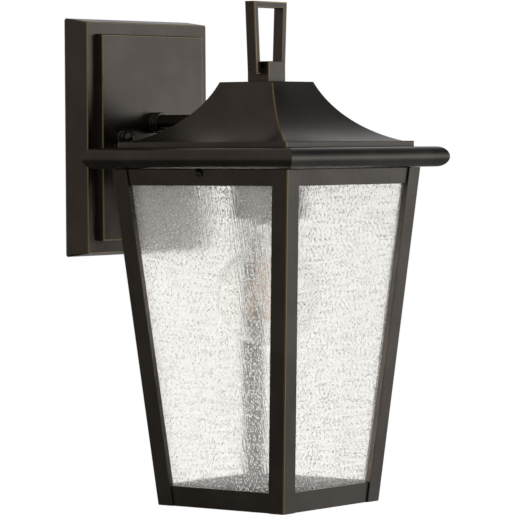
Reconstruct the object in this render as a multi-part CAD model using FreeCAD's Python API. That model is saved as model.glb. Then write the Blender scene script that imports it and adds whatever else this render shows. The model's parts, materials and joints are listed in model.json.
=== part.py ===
"""Outdoor wall lantern with a tapered glass cage, an open bottom and a two-tier backplate.

Origin: centre of the backplate on the wall plane. +Z up, -Y out of the wall, +X to the
right as seen from the front. Millimetres. Each function below makes one sub-part, and
each is written to its own STEP file in parts/.
"""
import FreeCAD, Part
import math
import os

V = FreeCAD.Vector

# ---------------------------------------------------------------- overall layout
ARM_Z = 10.1               # arm axis above the backplate's centre
WALL = 2.0                 # wall of the cast and pressed shells
EDGE = 0.5                 # rounding of the exposed edges
FIT = 0.1                  # gap around a piece that sits in or through another
SEAT = 0.05                # gap of a soldered or seated joint
SWEEP_GAP = 0.3            # gap between pieces that slide past each other
DRIVE_SLOT = 0.6           # width of a screw's driving slot
TOUCH = 1e-6               # points this close count as one

# ---------------------------------------------------------------- backplate
PAN_W = 131.8              # width at the wall
PAN_H = 163.0              # height at the wall
PAN_DEPTH = 19.5           # from the wall to the pan's front face
PAN_DRAFT_W = 1.7          # each side leans in by this much
PAN_DRAFT_H = 2.5
PAN_BORDER_W = 11.9        # pan seen beside the raised panel
PAN_BORDER_H = 11.2        # pan seen above and below it
PANEL_W = PAN_W - 2 * PAN_BORDER_W
PANEL_H = PAN_H - 2 * PAN_BORDER_H
PANEL_RISE = 5.0           # raised panel, proud of the pan
PANEL_DRAFT = 0.5
GASKET_T = 1.2
GASKET_BAND = 6.0
GASKET_INSET = 0.5

# ---------------------------------------------------------------- wall strap and its studs
STRAP_END = 5.55           # strap past each slot
STRAP_W = 22.0
STRAP_T = 2.0
BOX_SCREW_SPACING = 88.9   # outlet-box screws
BOX_SLOT_R = 2.2
BOX_SLOT_L = 10.0
STRAP_L = BOX_SCREW_SPACING + BOX_SLOT_L + 2 * STRAP_END
STUD_SPACING = 69.85       # studs that carry the ball cap nuts
STUD_R = 2.05
STUD_SLACK = 0.45          # gap around a stud in the backplate
STUD_HOLE_R = STUD_R + STUD_SLACK
STUD_ENGAGED = 5.0         # length of stud inside a cap nut
STUD_NUT_AF = 8.7
STUD_NUT_T = 3.2
CAP_SEAL_R = 4.6
CAP_SEAL_T = 1.0
CAP_NECK_R = 3.6
CAP_NECK_L = 3.0
CAP_BALL_R = 4.0
CAP_BORE_SPARE = 1.0
GROUND_X = 18.0
GROUND_R = 2.0
GROUND_HEAD_R = 4.2
GROUND_HEAD_T = 2.6

# ---------------------------------------------------------------- arm
ARM_R = 5.35
ARM_WALL = 1.45
ARM_BORE_R = ARM_R - ARM_WALL
ARM_NUT_WALL = 2.15        # nut outside the tube, at its flats
ARM_NUT_AF = 2 * (ARM_R + ARM_NUT_WALL)
ARM_NUT_T = 4.0
ARM_WASHER_RIM = 3.65
ARM_WASHER_R = ARM_R + ARM_WASHER_RIM
ARM_WASHER_T = 1.2
ARM_TAIL = 1.8             # tube past its nut
COLLAR_WALL = 1.85
COLLAR_R = ARM_R + COLLAR_WALL
COLLAR_L = 8.0
COLLAR_GROOVE_D = 0.7
COLLAR_GROOVE_W = 1.0
COLLAR_GROOVES = (2.4, 4.96)   # from the panel to each groove

# ---------------------------------------------------------------- roof
ROOF_TOP_Z = 36.95
ROOF_TOP_HALF = 22.8
ROOF_SWEEP_R = 70.3        # concave slope, an arc
ROOF_FOOT_Z = -3.2         # where the slope meets the ledge
LEDGE_W = 5.5              # ledge between the slope and the fascia
LEDGE_FALL = 0.1
FASCIA_H = 3.9
ARM_BOSS_HALF_W = 10.0
ARM_BOSS_DEPTH = 28.0      # boss face, from the lantern axis
ROOF_BOSS_R = 3.8
ROOF_SCREW_INSET = 31.0    # from the eave's outer edge
ROOF_SCREW_R = 1.75
ROOF_SCREW_HEAD_R = 3.0
ROOF_SCREW_HEAD_T = 2.2
ROOF_SCREW_GRIP = 3.8      # length of screw in its boss

# ---------------------------------------------------------------- eave frame
EAVE_HALF = 89.0
EAVE_H = 13.7
EAVE_GAP = 10.2            # between the eave's rear edge and the raised panel
EAVE_OVERHANG = 17.5       # eave past the fascia
EAVE_TOP_BAND = 35.0       # width of the frame's upper wall
EAVE_BOTTOM_BAND = 27.0    # width of its lower wall
RIB_H = 1.4
LUG_W = 14.0
LUG_T = 2.2
LUG_H = 7.8
LUG_CLEAR = 0.95           # between the glass and a lug

# ---------------------------------------------------------------- finial
FINIAL_TOP_Z = 91.1
RING_HALF_TOP = 18.2
RING_HALF_BOTTOM = 15.6
RING_BAR = 4.25
RING_HALF_DEEP = 4.03
RING_LIFT = 5.0            # underside of the ring above the roof's top
BLOCK_HALF = 9.2
BLOCK_H = 13.8
FINIAL_STUD_R = 2.4
FINIAL_STUD_SHORT = 0.7    # stud ends this far below the ring
FINIAL_STUD_TAIL = 4.1     # stud past its nut
FINIAL_NUT_AF = 8.0
FINIAL_NUT_T = 3.4

# ---------------------------------------------------------------- cage
CAGE_REVEAL = 14.5         # eave past the cage's top
CAGE_TAPER = 21.1          # each side leans in by this much
CAGE_H = 227.1
POST_LEG = 12.7
POST_T = 4.0
RAIL_SETBACK = 1.3         # rails sit this far behind the posts
TOP_RAIL_H = 10.9
BOTTOM_RAIL_H = 13.7
LEDGE_T = 2.0
LIP_T = 1.2
LIP_H = 5.0
GLASS_T = 3.0
GLASS_PLAY = 0.05
GLASS_CORNER_GAP = 0.45    # a pane's upright edge to the next pane's back
GLASS_TOP_DROP = 5.7       # cage top down to the glass's top edge
CLIP_INSET = 28.5          # each clip, from the cage's top corner
CLIP_W = 9.0
CLIP_T = 0.8
CLIP_REACH = 4.6

# ---------------------------------------------------------------- cage screws
CAGE_SCREW_DROP = 2.5      # below the cage's top
CAGE_SCREW_R = 1.45
CAGE_SCREW_HEAD_R = 2.5
CAGE_SCREW_HEAD_T = 1.8
CAGE_WASHER_T = 0.6
INSERT_R = 2.6
INSERT_L = 3.2

# ---------------------------------------------------------------- socket
BRACKET_END_GAP = 13.0     # bracket's end, from the eave's outer edge
BRACKET_W = 18.0
BRACKET_T = 1.6
BRACKET_SCREW_INSET = 23.4
BRACKET_SCREW_R = 1.9
BRACKET_HEAD_R = 2.7
BRACKET_HEAD_T = 1.8
BRACKET_NUT_AF = 6.4
BRACKET_NUT_T = 2.6
NIPPLE_R = 4.8
NIPPLE_BORE_R = 3.4
NIPPLE_STAND = 7.0         # nipple above the bracket
NIPPLE_NUT_AF = 14.0
NIPPLE_NUT_T = 3.4
CUP_R = 23.5
CUP_T = 1.2
CUP_H = 36.0
HOLDER_CLEAR = 0.6
HOLDER_TOP_T = 5.0
HOLDER_SHORT = 1.8         # holder ends this far inside the cup
SHELL_PLAY = 0.35          # screw shell around the lamp's base
SHELL_T = 0.5
CONTACT_R = 4.5
CONTACT_T = 0.8

# ---------------------------------------------------------------- lamp
LAMP_R = 33.7
LAMP_DROP = 86.0           # lamp's lowest point below the cup's mouth
LAMP_GLASS = 0.8
LAMP_NECK_L = 4.5          # straight neck below the base
LAMP_RIM_INSIDE = 2.4      # base rim, above the cup's mouth
BASE_R = 13.1
BASE_T = 0.4
BASE_NOSE_H = 3.4
BASE_NOSE_R = 6.5
TIP_R = 4.6
TIP_H = 1.2
TIP_GAP = 0.15             # lamp tip off the holder's contact
STEM_R = 5.5
STEM_ROD_R = 1.5
FILAMENT_R = 0.9
FILAMENT_TOP_SPREAD = 4.6
FILAMENT_BOTTOM_SPREAD = 11.6
FILAMENT_TOP_DROP = 26.0   # below the cup's mouth
FILAMENT_BOTTOM_DROP = 69.0
FILAMENT_COUNT = 4
WIRE_R = 0.4

# ---------------------------------------------------------------- leads
LEAD_R = 1.05
LEAD_APART = 1.5           # each lead from the middle
LEAD_BEND = 14.0
LEAD_TAIL = 5.0            # lead past the tube's rear end

# ---------------------------------------------------------------- levels worked out from these
AXIS_OUT = PAN_DEPTH + PANEL_RISE + EAVE_GAP + EAVE_HALF   # lantern axis, from the wall
FASCIA_HALF = EAVE_HALF - EAVE_OVERHANG
ROOF_FOOT_HALF = FASCIA_HALF - LEDGE_W
ROOF_SCREW_AT = EAVE_HALF - ROOF_SCREW_INSET
EAVE_TOP_OPEN = EAVE_HALF - EAVE_TOP_BAND
EAVE_BOTTOM_OPEN = EAVE_HALF - EAVE_BOTTOM_BAND
CAGE_TOP_HALF = EAVE_HALF - CAGE_REVEAL
CAGE_BOTTOM_HALF = CAGE_TOP_HALF - CAGE_TAPER
CLIP_AT = CAGE_TOP_HALF - CLIP_INSET
BRACKET_L = 2 * (EAVE_HALF - BRACKET_END_GAP)
BRACKET_SCREW_AT = EAVE_HALF - BRACKET_SCREW_INSET
SHELL_R = BASE_R + SHELL_PLAY
LAMP_NECK_R = BASE_R - BASE_T - FIT
FINIAL_STUD_IN = RING_LIFT - FINIAL_STUD_SHORT
PAN_FRONT_Y = -PAN_DEPTH
PANEL_FRONT_Y = -(PAN_DEPTH + PANEL_RISE)
FASCIA_TOP_Z = ROOF_FOOT_Z - LEDGE_FALL
EAVE_TOP_Z = FASCIA_TOP_Z - FASCIA_H
EAVE_BOTTOM_Z = EAVE_TOP_Z - EAVE_H
CAGE_TOP_Z = EAVE_BOTTOM_Z - SWEEP_GAP
CAGE_BOTTOM_Z = CAGE_TOP_Z - CAGE_H
TOP_RAIL_Z = CAGE_TOP_Z - TOP_RAIL_H
BOTTOM_RAIL_Z = CAGE_BOTTOM_Z + BOTTOM_RAIL_H
GLASS_TOP_Z = CAGE_TOP_Z - GLASS_TOP_DROP
GLASS_FRONT = POST_T + GLASS_PLAY
GLASS_BACK = GLASS_FRONT + GLASS_T
LUG_DEPTH = GLASS_BACK + LUG_CLEAR                 # lug's face, behind the cage's outer plane
CAGE_SCREW_REACH = LUG_DEPTH + LUG_T - SWEEP_GAP   # screw's tip, behind the same plane
CAGE_SCREW_Z = CAGE_TOP_Z - CAGE_SCREW_DROP
BRACKET_Z = EAVE_BOTTOM_Z + WALL
BRACKET_TOP_Z = BRACKET_Z + BRACKET_T
CUP_TOP_Z = BRACKET_Z - SEAT
CUP_MOUTH_Z = CUP_TOP_Z - CUP_H
HOLDER_TOP_Z = CUP_TOP_Z - CUP_T - SEAT
HOLDER_BOTTOM_Z = CUP_MOUTH_Z + HOLDER_SHORT
HOLDER_R = CUP_R - CUP_T - HOLDER_CLEAR
CONTACT_Z = HOLDER_TOP_Z - HOLDER_TOP_T
LAMP_RIM_Z = CUP_MOUTH_Z + LAMP_RIM_INSIDE
LAMP_BOTTOM_Z = CUP_MOUTH_Z - LAMP_DROP
LAMP_CENTRE_Z = LAMP_BOTTOM_Z + LAMP_R
LAMP_NECK_Z = LAMP_RIM_Z - LAMP_NECK_L
TIP_Z = CONTACT_Z - CONTACT_T - TIP_GAP
NOSE_TOP_Z = TIP_Z - TIP_H
BASE_TOP_Z = NOSE_TOP_Z - BASE_NOSE_H
RING_BOTTOM_Z = ROOF_TOP_Z + RING_LIFT
BLOCK_TOP_Z = ROOF_TOP_Z + BLOCK_H
ARM_REAR_Y = PAN_FRONT_Y + WALL + ARM_WASHER_T + ARM_NUT_T + ARM_TAIL
ARM_FRONT_Y = -AXIS_OUT + ARM_BOSS_DEPTH - ARM_NUT_T - ARM_TAIL
AXIS = V(0, -AXIS_OUT, 0)

os.makedirs("parts", exist_ok=True)


# ---------------------------------------------------------------- shape helpers
def save(node, shape):
    """Write one sub-part; a list of separate solids goes in as a compound."""
    if isinstance(shape, list):
        shape = Part.makeCompound(shape)
    shape.exportStep("parts/" + node + ".step")
    print(node, len(shape.Solids), "solid(s)", round(shape.Volume), "mm3", shape.isValid())


def block(x0, x1, y0, y1, z0, z1):
    """Box between two corners."""
    return Part.makeBox(x1 - x0, y1 - y0, z1 - z0, V(x0, y0, z0))


def rod(r, start, axis, length):
    """Round bar from a point along an axis."""
    return Part.makeCylinder(r, length, start, axis)


def tube(r_out, r_in, start, axis, length):
    """Round tube from a point along an axis."""
    return rod(r_out, start, axis, length).cut(rod(r_in, start, axis, length))


def hex_bar(af, start, axis, length, bore_r):
    """Hexagon nut blank of width af across flats, bored."""
    corner_r = af / math.sqrt(3)
    turn = [math.radians(60 * k) for k in range(7)]
    points = [V(corner_r * math.cos(a), corner_r * math.sin(a), 0) for a in turn]
    solid = Part.Face(Part.makePolygon(points)).extrude(V(0, 0, length))
    solid = solid.cut(rod(bore_r, V(0, 0, 0), V(0, 0, 1), length))
    solid.Placement = FreeCAD.Placement(start, FreeCAD.Rotation(V(0, 0, 1), axis))
    return solid


def slab_between(low, high):
    """Closed solid between two polygons with the same number of corners."""
    loops = [low, high]
    for k in range(len(low)):
        n = (k + 1) % len(low)
        loops.append([low[k], low[n], high[n], high[k]])
    middle = sum(low + high, V(0, 0, 0)) / (2 * len(low))
    faces = []
    for loop in loops:
        face = Part.Face(Part.makePolygon(loop + loop[:1]))
        if face.normalAt(0, 0).dot(face.CenterOfMass - middle) < 0:
            face.reverse()
        faces.append(face)
    return Part.makeSolid(Part.makeShell(faces))


def plate_taper(w0, h0, y0, w1, h1, y1):
    """Rectangle w0 x h0 at y0 tapering to w1 x h1 at y1, centred on the backplate."""
    def corners(w, h, y):
        return [V(-w / 2, y, -h / 2), V(w / 2, y, -h / 2), V(w / 2, y, h / 2), V(-w / 2, y, h / 2)]
    return slab_between(corners(w0, h0, y0), corners(w1, h1, y1))


def square_at(half, z):
    """Four corners of a square about the lantern axis."""
    return [AXIS + V(sx * half, sy * half, z) for sx, sy in ((-1, -1), (1, -1), (1, 1), (-1, 1))]


def cage_half(z):
    """Half width of the cage's outer plane at a height."""
    return CAGE_BOTTOM_HALF + (CAGE_TOP_HALF - CAGE_BOTTOM_HALF) * (z - CAGE_BOTTOM_Z) / CAGE_H


def cage_taper(inset, z0, z1):
    """Solid square taper, inset from the cage's outer planes, between two heights."""
    return slab_between(square_at(cage_half(z0) - inset, z0), square_at(cage_half(z1) - inset, z1))


def cage_wall(front, back, z0, z1):
    """Four-sided tapered wall between two insets."""
    return cage_taper(front, z0, z1).cut(cage_taper(back, z0, z1))


def cage_wedge(turn, trim, z0, z1):
    """Region in front of one cage face, trimmed back from the corner posts' edges.

    turn 0 is the front face; 1, 2 and 3 are right, rear and left.
    """
    def cut(z):
        w = cage_half(z) - trim
        far = cage_half(z) + POST_T
        near = cage_half(CAGE_BOTTOM_Z) - POST_LEG - LIP_T
        return [V(-w, -far, z), V(w, -far, z), V(w, -near, z), V(-w, -near, z)]
    solid = slab_between(cut(z0), cut(z1))
    solid.rotate(V(0, 0, 0), V(0, 0, 1), 90 * turn)
    solid.translate(AXIS)
    return solid


def mitred(profile):
    """Four-sided moulding: one profile swept along X and along Y, kept where they meet."""
    reach = 2 * EAVE_HALF
    along_x = Part.Face(profile).extrude(V(2 * reach, 0, 0))
    along_x.translate(V(-reach, 0, 0))
    along_y = along_x.copy()
    along_y.rotate(V(0, 0, 0), V(0, 0, 1), 90)
    solid = along_x.common(along_y).removeSplitter()
    solid.translate(AXIS)
    return solid


def line(a, b):
    """Straight edge."""
    return Part.LineSegment(a, b).toShape()


def arc(a, mid, b):
    """Round edge through a middle point."""
    return Part.Arc(a, mid, b).toShape()


def turned(edges):
    """Solid of revolution about the lantern axis from edges in the XZ plane."""
    solid = Part.Face(Part.Wire(edges)).revolve(V(0, 0, 0), V(0, 0, 1), 360)
    solid.translate(AXIS)
    if solid.Volume < 0:
        solid.reverse()
    return solid


def round_edges(solid, radius, keep):
    """Round the straight or curved edges that keep(edge) picks."""
    edges = [e for e in solid.Edges if keep(e)]
    return solid.makeFillet(radius, edges)


# ---------------------------------------------------------------- backplate
def stud_x(side):
    """X of the left (-1) or right (+1) stud."""
    return side * STUD_SPACING / 2


def plate_holes(y0, y1):
    """Arm hole and two stud holes through the backplate."""
    out = V(0, -1, 0)
    cuts = [rod(ARM_R + FIT, V(0, y0, ARM_Z), out, y0 - y1)]
    for side in (-1, 1):
        cuts.append(rod(STUD_HOLE_R, V(stud_x(side), y0, 0), out, y0 - y1))
    return cuts


def wall_gasket():
    """Foam ring between the pan's rim and the wall."""
    w, h = PAN_W - 2 * GASKET_INSET, PAN_H - 2 * GASKET_INSET
    outer = block(-w / 2, w / 2, -GASKET_T, 0, -h / 2, h / 2)
    w, h = w - 2 * GASKET_BAND, h - 2 * GASKET_BAND
    return outer.cut(block(-w / 2, w / 2, -GASKET_T, 0, -h / 2, h / 2))


def on_plane_y(edge, y):
    """True if an edge lies in the plane y."""
    return all(abs(v.Point.y - y) < TOUCH for v in edge.Vertexes)


def backplate_pan():
    """Pan with leaning sides, open at the wall."""
    w1, h1 = PAN_W - 2 * PAN_DRAFT_W, PAN_H - 2 * PAN_DRAFT_H
    y0, y1 = -GASKET_T, PAN_FRONT_Y
    outer = plate_taper(PAN_W, PAN_H, y0, w1, h1, y1)
    outer = round_edges(outer, EDGE, lambda e: not on_plane_y(e, y0))
    inner = plate_taper(PAN_W - 2 * WALL, PAN_H - 2 * WALL, y0, w1 - 2 * WALL, h1 - 2 * WALL, y1 + WALL)
    return outer.cut(inner).cut(plate_holes(y1 + 2 * WALL, y1 - WALL))


def backplate_panel():
    """Raised panel, hollow behind, that seats on the pan."""
    y0, y1 = PAN_FRONT_Y, PANEL_FRONT_Y
    w0, h0 = PANEL_W + 2 * PANEL_DRAFT, PANEL_H + 2 * PANEL_DRAFT
    outer = plate_taper(w0, h0, y0, PANEL_W, PANEL_H, y1)
    outer = round_edges(outer, EDGE, lambda e: not on_plane_y(e, y0))
    inner = plate_taper(w0 - 2 * WALL, h0 - 2 * WALL, y0, PANEL_W - 2 * WALL, PANEL_H - 2 * WALL, y1 + WALL)
    return outer.cut(inner).cut(plate_holes(y0 + WALL, y1 - WALL))


# ---------------------------------------------------------------- wall strap
def mounting_strap():
    """Flat steel bar on the outlet box, slotted for its screws and tapped for the studs."""
    bar = block(-STRAP_L / 2, STRAP_L / 2, -STRAP_T, 0, -STRAP_W / 2, STRAP_W / 2)
    out = V(0, -1, 0)
    for side in (-1, 1):
        bar = bar.cut(rod(STUD_R + SEAT, V(stud_x(side), 0, 0), out, STRAP_T))
        middle = side * BOX_SCREW_SPACING / 2
        run = BOX_SLOT_L / 2 - BOX_SLOT_R
        bar = bar.cut(block(middle - run, middle + run, -STRAP_T, 0, -BOX_SLOT_R, BOX_SLOT_R))
        for end in (-run, run):
            bar = bar.cut(rod(BOX_SLOT_R, V(middle + end, 0, 0), out, STRAP_T))
    return bar.cut(rod(GROUND_R + SEAT, V(GROUND_X, 0, 0), out, STRAP_T)).removeSplitter()


def cap_seat_y():
    """Front of the cap nut's seal washer."""
    return PANEL_FRONT_Y - CAP_SEAL_T


def mounting_studs():
    """Two threaded studs standing out of the strap."""
    reach = -cap_seat_y() + STUD_ENGAGED
    return [rod(STUD_R, V(stud_x(side), -SEAT, 0), V(0, -1, 0), reach - SEAT) for side in (-1, 1)]


def stud_lock_nuts():
    """Hexagon nuts that lock the studs to the strap."""
    start = -STRAP_T - SEAT
    return [hex_bar(STUD_NUT_AF, V(stud_x(side), start, 0), V(0, -1, 0), STUD_NUT_T, STUD_R + SEAT)
            for side in (-1, 1)]


def ground_screw():
    """Green washer-head screw in the strap."""
    out = V(0, -1, 0)
    head = rod(GROUND_HEAD_R, V(GROUND_X, -STRAP_T - SEAT, 0), out, GROUND_HEAD_T)
    slot = block(GROUND_X - GROUND_HEAD_R, GROUND_X + GROUND_HEAD_R, -STRAP_T - 2 * GROUND_HEAD_T,
                 -STRAP_T - GROUND_HEAD_T / 2, -DRIVE_SLOT / 2, DRIVE_SLOT / 2)
    return head.cut(slot).fuse(rod(GROUND_R, V(GROUND_X, -SEAT, 0), out, STRAP_T))


def cap_seal(side):
    """Rubber washer under a ball cap nut."""
    start = V(stud_x(side), PANEL_FRONT_Y - SEAT, 0)
    return tube(CAP_SEAL_R, STUD_HOLE_R, start, V(0, -1, 0), CAP_SEAL_T - SEAT)


def cap_nut(side):
    """Ball-ended cap nut with a blind bore."""
    out = V(0, -1, 0)
    y = cap_seat_y() - SEAT
    neck = rod(CAP_NECK_R, V(stud_x(side), y, 0), out, CAP_NECK_L)
    ball_y = y - CAP_NECK_L - CAP_BALL_R / 2
    ball = Part.makeSphere(CAP_BALL_R, V(stud_x(side), ball_y, 0))
    bore = rod(STUD_R + SEAT, V(stud_x(side), y, 0), out, STUD_ENGAGED + CAP_BORE_SPARE)
    return neck.fuse(ball).cut(bore).removeSplitter()


# ---------------------------------------------------------------- arm
def arm_tube():
    """Straight tube from inside the pan to inside the roof."""
    return tube(ARM_R, ARM_BORE_R, V(0, ARM_REAR_Y, ARM_Z), V(0, -1, 0), ARM_REAR_Y - ARM_FRONT_Y)


def arm_collar():
    """Ringed collar where the tube leaves the panel."""
    out = V(0, -1, 0)
    y = PANEL_FRONT_Y - SEAT
    collar = rod(COLLAR_R, V(0, y, ARM_Z), out, COLLAR_L)
    for at in COLLAR_GROOVES:
        start = V(0, y - at, ARM_Z)
        collar = collar.cut(tube(2 * COLLAR_R, COLLAR_R - COLLAR_GROOVE_D, start, out, COLLAR_GROOVE_W))
    collar = collar.makeChamfer(EDGE, [e for e in collar.Edges if on_plane_y(e, y - COLLAR_L)])
    return collar.cut(rod(ARM_R + FIT, V(0, y, ARM_Z), out, COLLAR_L))


def arm_lock_nuts():
    """Hexagon nuts, one in the pan and one in the roof."""
    rear = PAN_FRONT_Y + WALL + ARM_WASHER_T + 2 * SEAT
    front = -AXIS_OUT + ARM_BOSS_DEPTH - SEAT
    bore = ARM_R + SEAT
    return [hex_bar(ARM_NUT_AF, V(0, rear, ARM_Z), V(0, 1, 0), ARM_NUT_T, bore),
            hex_bar(ARM_NUT_AF, V(0, front, ARM_Z), V(0, -1, 0), ARM_NUT_T, bore)]


def arm_lock_washer():
    """Flat washer under the nut in the pan."""
    start = V(0, PAN_FRONT_Y + WALL + SEAT, ARM_Z)
    return tube(ARM_WASHER_R, ARM_R + FIT, start, V(0, 1, 0), ARM_WASHER_T)


# ---------------------------------------------------------------- roof
def sweep_centre():
    """Centre of the roof's concave arc: it passes through the top and foot points."""
    top, foot = (ROOF_TOP_HALF, ROOF_TOP_Z), (ROOF_FOOT_HALF, ROOF_FOOT_Z)
    mid = ((top[0] + foot[0]) / 2, (top[1] + foot[1]) / 2)
    dx, dz = foot[0] - top[0], foot[1] - top[1]
    chord = math.hypot(dx, dz)
    rise = math.sqrt(ROOF_SWEEP_R ** 2 - (chord / 2) ** 2)
    return mid[0] - dz / chord * rise, mid[1] + dx / chord * rise


def arc_half(z, inset):
    """Half width of the concave slope at a height, inset by a wall."""
    cx, cz = sweep_centre()
    return cx - math.sqrt((ROOF_SWEEP_R + inset) ** 2 - (cz - z) ** 2)


def roof_profile(inset):
    """Closed outline of the roof in the YZ plane, inset by a wall."""
    cx, cz = sweep_centre()
    z_top, z_foot, z_low = ROOF_TOP_Z - inset, ROOF_FOOT_Z - inset, EAVE_TOP_Z
    a, b = arc_half(z_top, inset), arc_half(z_foot, inset)
    between = math.atan2((z_top + z_foot) / 2 - cz, (a + b) / 2 - cx)
    radius = ROOF_SWEEP_R + inset
    mid = (cx + radius * math.cos(between), cz + radius * math.sin(between))
    side = FASCIA_HALF - inset
    ledge = z_foot - LEDGE_FALL
    edges = [line(V(0, -a, z_top), V(0, a, z_top))]
    for s in (1, -1):
        edges.append(arc(V(0, s * a, z_top), V(0, s * mid[0], mid[1]), V(0, s * b, z_foot)))
        edges.append(line(V(0, s * b, z_foot), V(0, s * side, ledge)))
        edges.append(line(V(0, s * side, ledge), V(0, s * side, z_low)))
    edges.append(line(V(0, side, z_low), V(0, -side, z_low)))
    return Part.Wire(Part.__sortEdges__(edges))


def roof_crown():
    """Hollow roof with four swept slopes, a fascia, an arm boss and four screw bosses."""
    outer = mitred(roof_profile(0))
    inner = mitred(roof_profile(WALL))
    shell = outer.cut(inner)
    rear = -AXIS_OUT + arc_half(ARM_Z - ARM_BOSS_HALF_W, 0)
    boss = block(-ARM_BOSS_HALF_W, ARM_BOSS_HALF_W, -AXIS_OUT + ARM_BOSS_DEPTH, rear,
                 ARM_Z - ARM_BOSS_HALF_W, ARM_Z + ARM_BOSS_HALF_W)
    solids = [boss]
    for sx in (-1, 1):
        for sy in (-1, 1):
            foot = AXIS + V(sx * ROOF_SCREW_AT, sy * ROOF_SCREW_AT, EAVE_TOP_Z)
            solids.append(rod(ROOF_BOSS_R, foot, V(0, 0, 1), ROOF_TOP_Z - EAVE_TOP_Z))
    for extra in solids:
        shell = shell.fuse(extra.common(outer))
    cuts = [rod(ARM_R + FIT, V(0, 0, ARM_Z), V(0, -1, 0), AXIS_OUT),
            rod(FINIAL_STUD_R + FIT, AXIS + V(0, 0, ROOF_TOP_Z - 2 * WALL), V(0, 0, 1), 3 * WALL)]
    for x, y in roof_screw_places():
        cuts.append(rod(ROOF_SCREW_R + SEAT, V(x, y, EAVE_TOP_Z), V(0, 0, 1), ROOF_SCREW_GRIP + SEAT))
    return shell.cut(cuts).removeSplitter()


def roof_screw_places():
    """X and Y of the four roof screws."""
    return [(sx * ROOF_SCREW_AT, -AXIS_OUT + sy * ROOF_SCREW_AT) for sx in (-1, 1) for sy in (-1, 1)]


def roof_screws():
    """Pan-head screws up through the eave frame into the roof's bosses."""
    made = []
    for x, y in roof_screw_places():
        seat = EAVE_TOP_Z - WALL - SEAT
        head = rod(ROOF_SCREW_HEAD_R, V(x, y, seat - ROOF_SCREW_HEAD_T), V(0, 0, 1), ROOF_SCREW_HEAD_T)
        shank = rod(ROOF_SCREW_R, V(x, y, seat), V(0, 0, 1), WALL + ROOF_SCREW_GRIP)
        made.append(head.fuse(shank).removeSplitter())
    return made


# ---------------------------------------------------------------- eave frame
def bullnose_profile(inset):
    """Flat slab with half-round edges, in the YZ plane, inset by a wall."""
    low, high = EAVE_BOTTOM_Z + inset, EAVE_TOP_Z - inset
    r = (high - low) / 2
    flat = EAVE_HALF - inset - r
    middle = (low + high) / 2
    edges = [line(V(0, -flat, high), V(0, flat, high)), line(V(0, flat, low), V(0, -flat, low))]
    for s in (1, -1):
        edges.append(arc(V(0, s * flat, high), V(0, s * (flat + r), middle), V(0, s * flat, low)))
    return Part.Wire(Part.__sortEdges__(edges))


def lug_x():
    """Outer face of the cage lug, from the lantern axis."""
    return cage_half(CAGE_SCREW_Z) - LUG_DEPTH


def eave_frame():
    """Hollow half-round moulding with a rib inside the fascia and two lugs for the cage."""
    frame = mitred(bullnose_profile(0)).cut(mitred(bullnose_profile(WALL)))
    for half, z0, z1 in ((EAVE_TOP_OPEN, EAVE_TOP_Z - 2 * WALL, EAVE_TOP_Z + WALL),
                         (EAVE_BOTTOM_OPEN, EAVE_BOTTOM_Z - WALL, EAVE_BOTTOM_Z + 2 * WALL)):
        frame = frame.cut(slab_between(square_at(half, z0), square_at(half, z1)))
    rib_out = FASCIA_HALF - WALL - FIT
    z0, z1 = EAVE_TOP_Z - WALL / 2, EAVE_TOP_Z + RIB_H
    rib = slab_between(square_at(rib_out, z0), square_at(rib_out, z1))
    frame = frame.fuse(rib.cut(slab_between(square_at(rib_out - WALL, z0), square_at(rib_out - WALL, z1))))
    for side in (-1, 1):
        near, far = sorted((side * lug_x(), side * (lug_x() - LUG_T)))
        low, mid = EAVE_BOTTOM_Z - LUG_H, -AXIS_OUT
        lug = block(near, far, mid - LUG_W / 2, mid + LUG_W / 2, low, EAVE_BOTTOM_Z + WALL)
        slot_r = CAGE_SCREW_R + SWEEP_GAP
        slot = block(near, far, mid - slot_r, mid + slot_r, low, CAGE_SCREW_Z)
        slot = slot.fuse(rod(slot_r, V(near, mid, CAGE_SCREW_Z), V(1, 0, 0), LUG_T))
        frame = frame.fuse(lug.cut(slot))
    cuts = [rod(ROOF_SCREW_R + FIT, V(x, y, EAVE_TOP_Z - 2 * WALL), V(0, 0, 1), 3 * WALL)
            for x, y in roof_screw_places()]
    for y in bracket_screw_places():
        cuts.append(rod(BRACKET_SCREW_R + FIT, V(0, y, EAVE_BOTTOM_Z - WALL), V(0, 0, 1), 3 * WALL))
    return frame.cut(cuts).removeSplitter()


# ---------------------------------------------------------------- finial
def finial_outline(inset_side, low, high):
    """Trapezoid of the finial ring in the XZ plane, between two heights."""
    def half(z):
        share = (z - RING_BOTTOM_Z) / (FINIAL_TOP_Z - RING_BOTTOM_Z)
        return RING_HALF_BOTTOM + (RING_HALF_TOP - RING_HALF_BOTTOM) * share - inset_side
    deep = RING_HALF_DEEP
    corners = [V(-half(low), 0, low), V(half(low), 0, low), V(half(high), 0, high), V(-half(high), 0, high)]
    rear = [AXIS + c + V(0, deep, 0) for c in corners]
    front = [AXIS + c - V(0, deep, 0) for c in corners]
    return slab_between(rear, front)


def finial_ring():
    """Closed trapezoid ring bent from flat bar."""
    outer = finial_outline(0, RING_BOTTOM_Z, FINIAL_TOP_Z)
    inner = finial_outline(RING_BAR, RING_BOTTOM_Z + RING_BAR, FINIAL_TOP_Z - RING_BAR)
    for grown in (V(0, RING_HALF_DEEP, 0), V(0, -RING_HALF_DEEP, 0)):
        side = inner.copy()
        side.translate(grown)
        outer = outer.cut(side)
    return round_edges(outer.removeSplitter(), EDGE / 2, lambda e: True)


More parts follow.
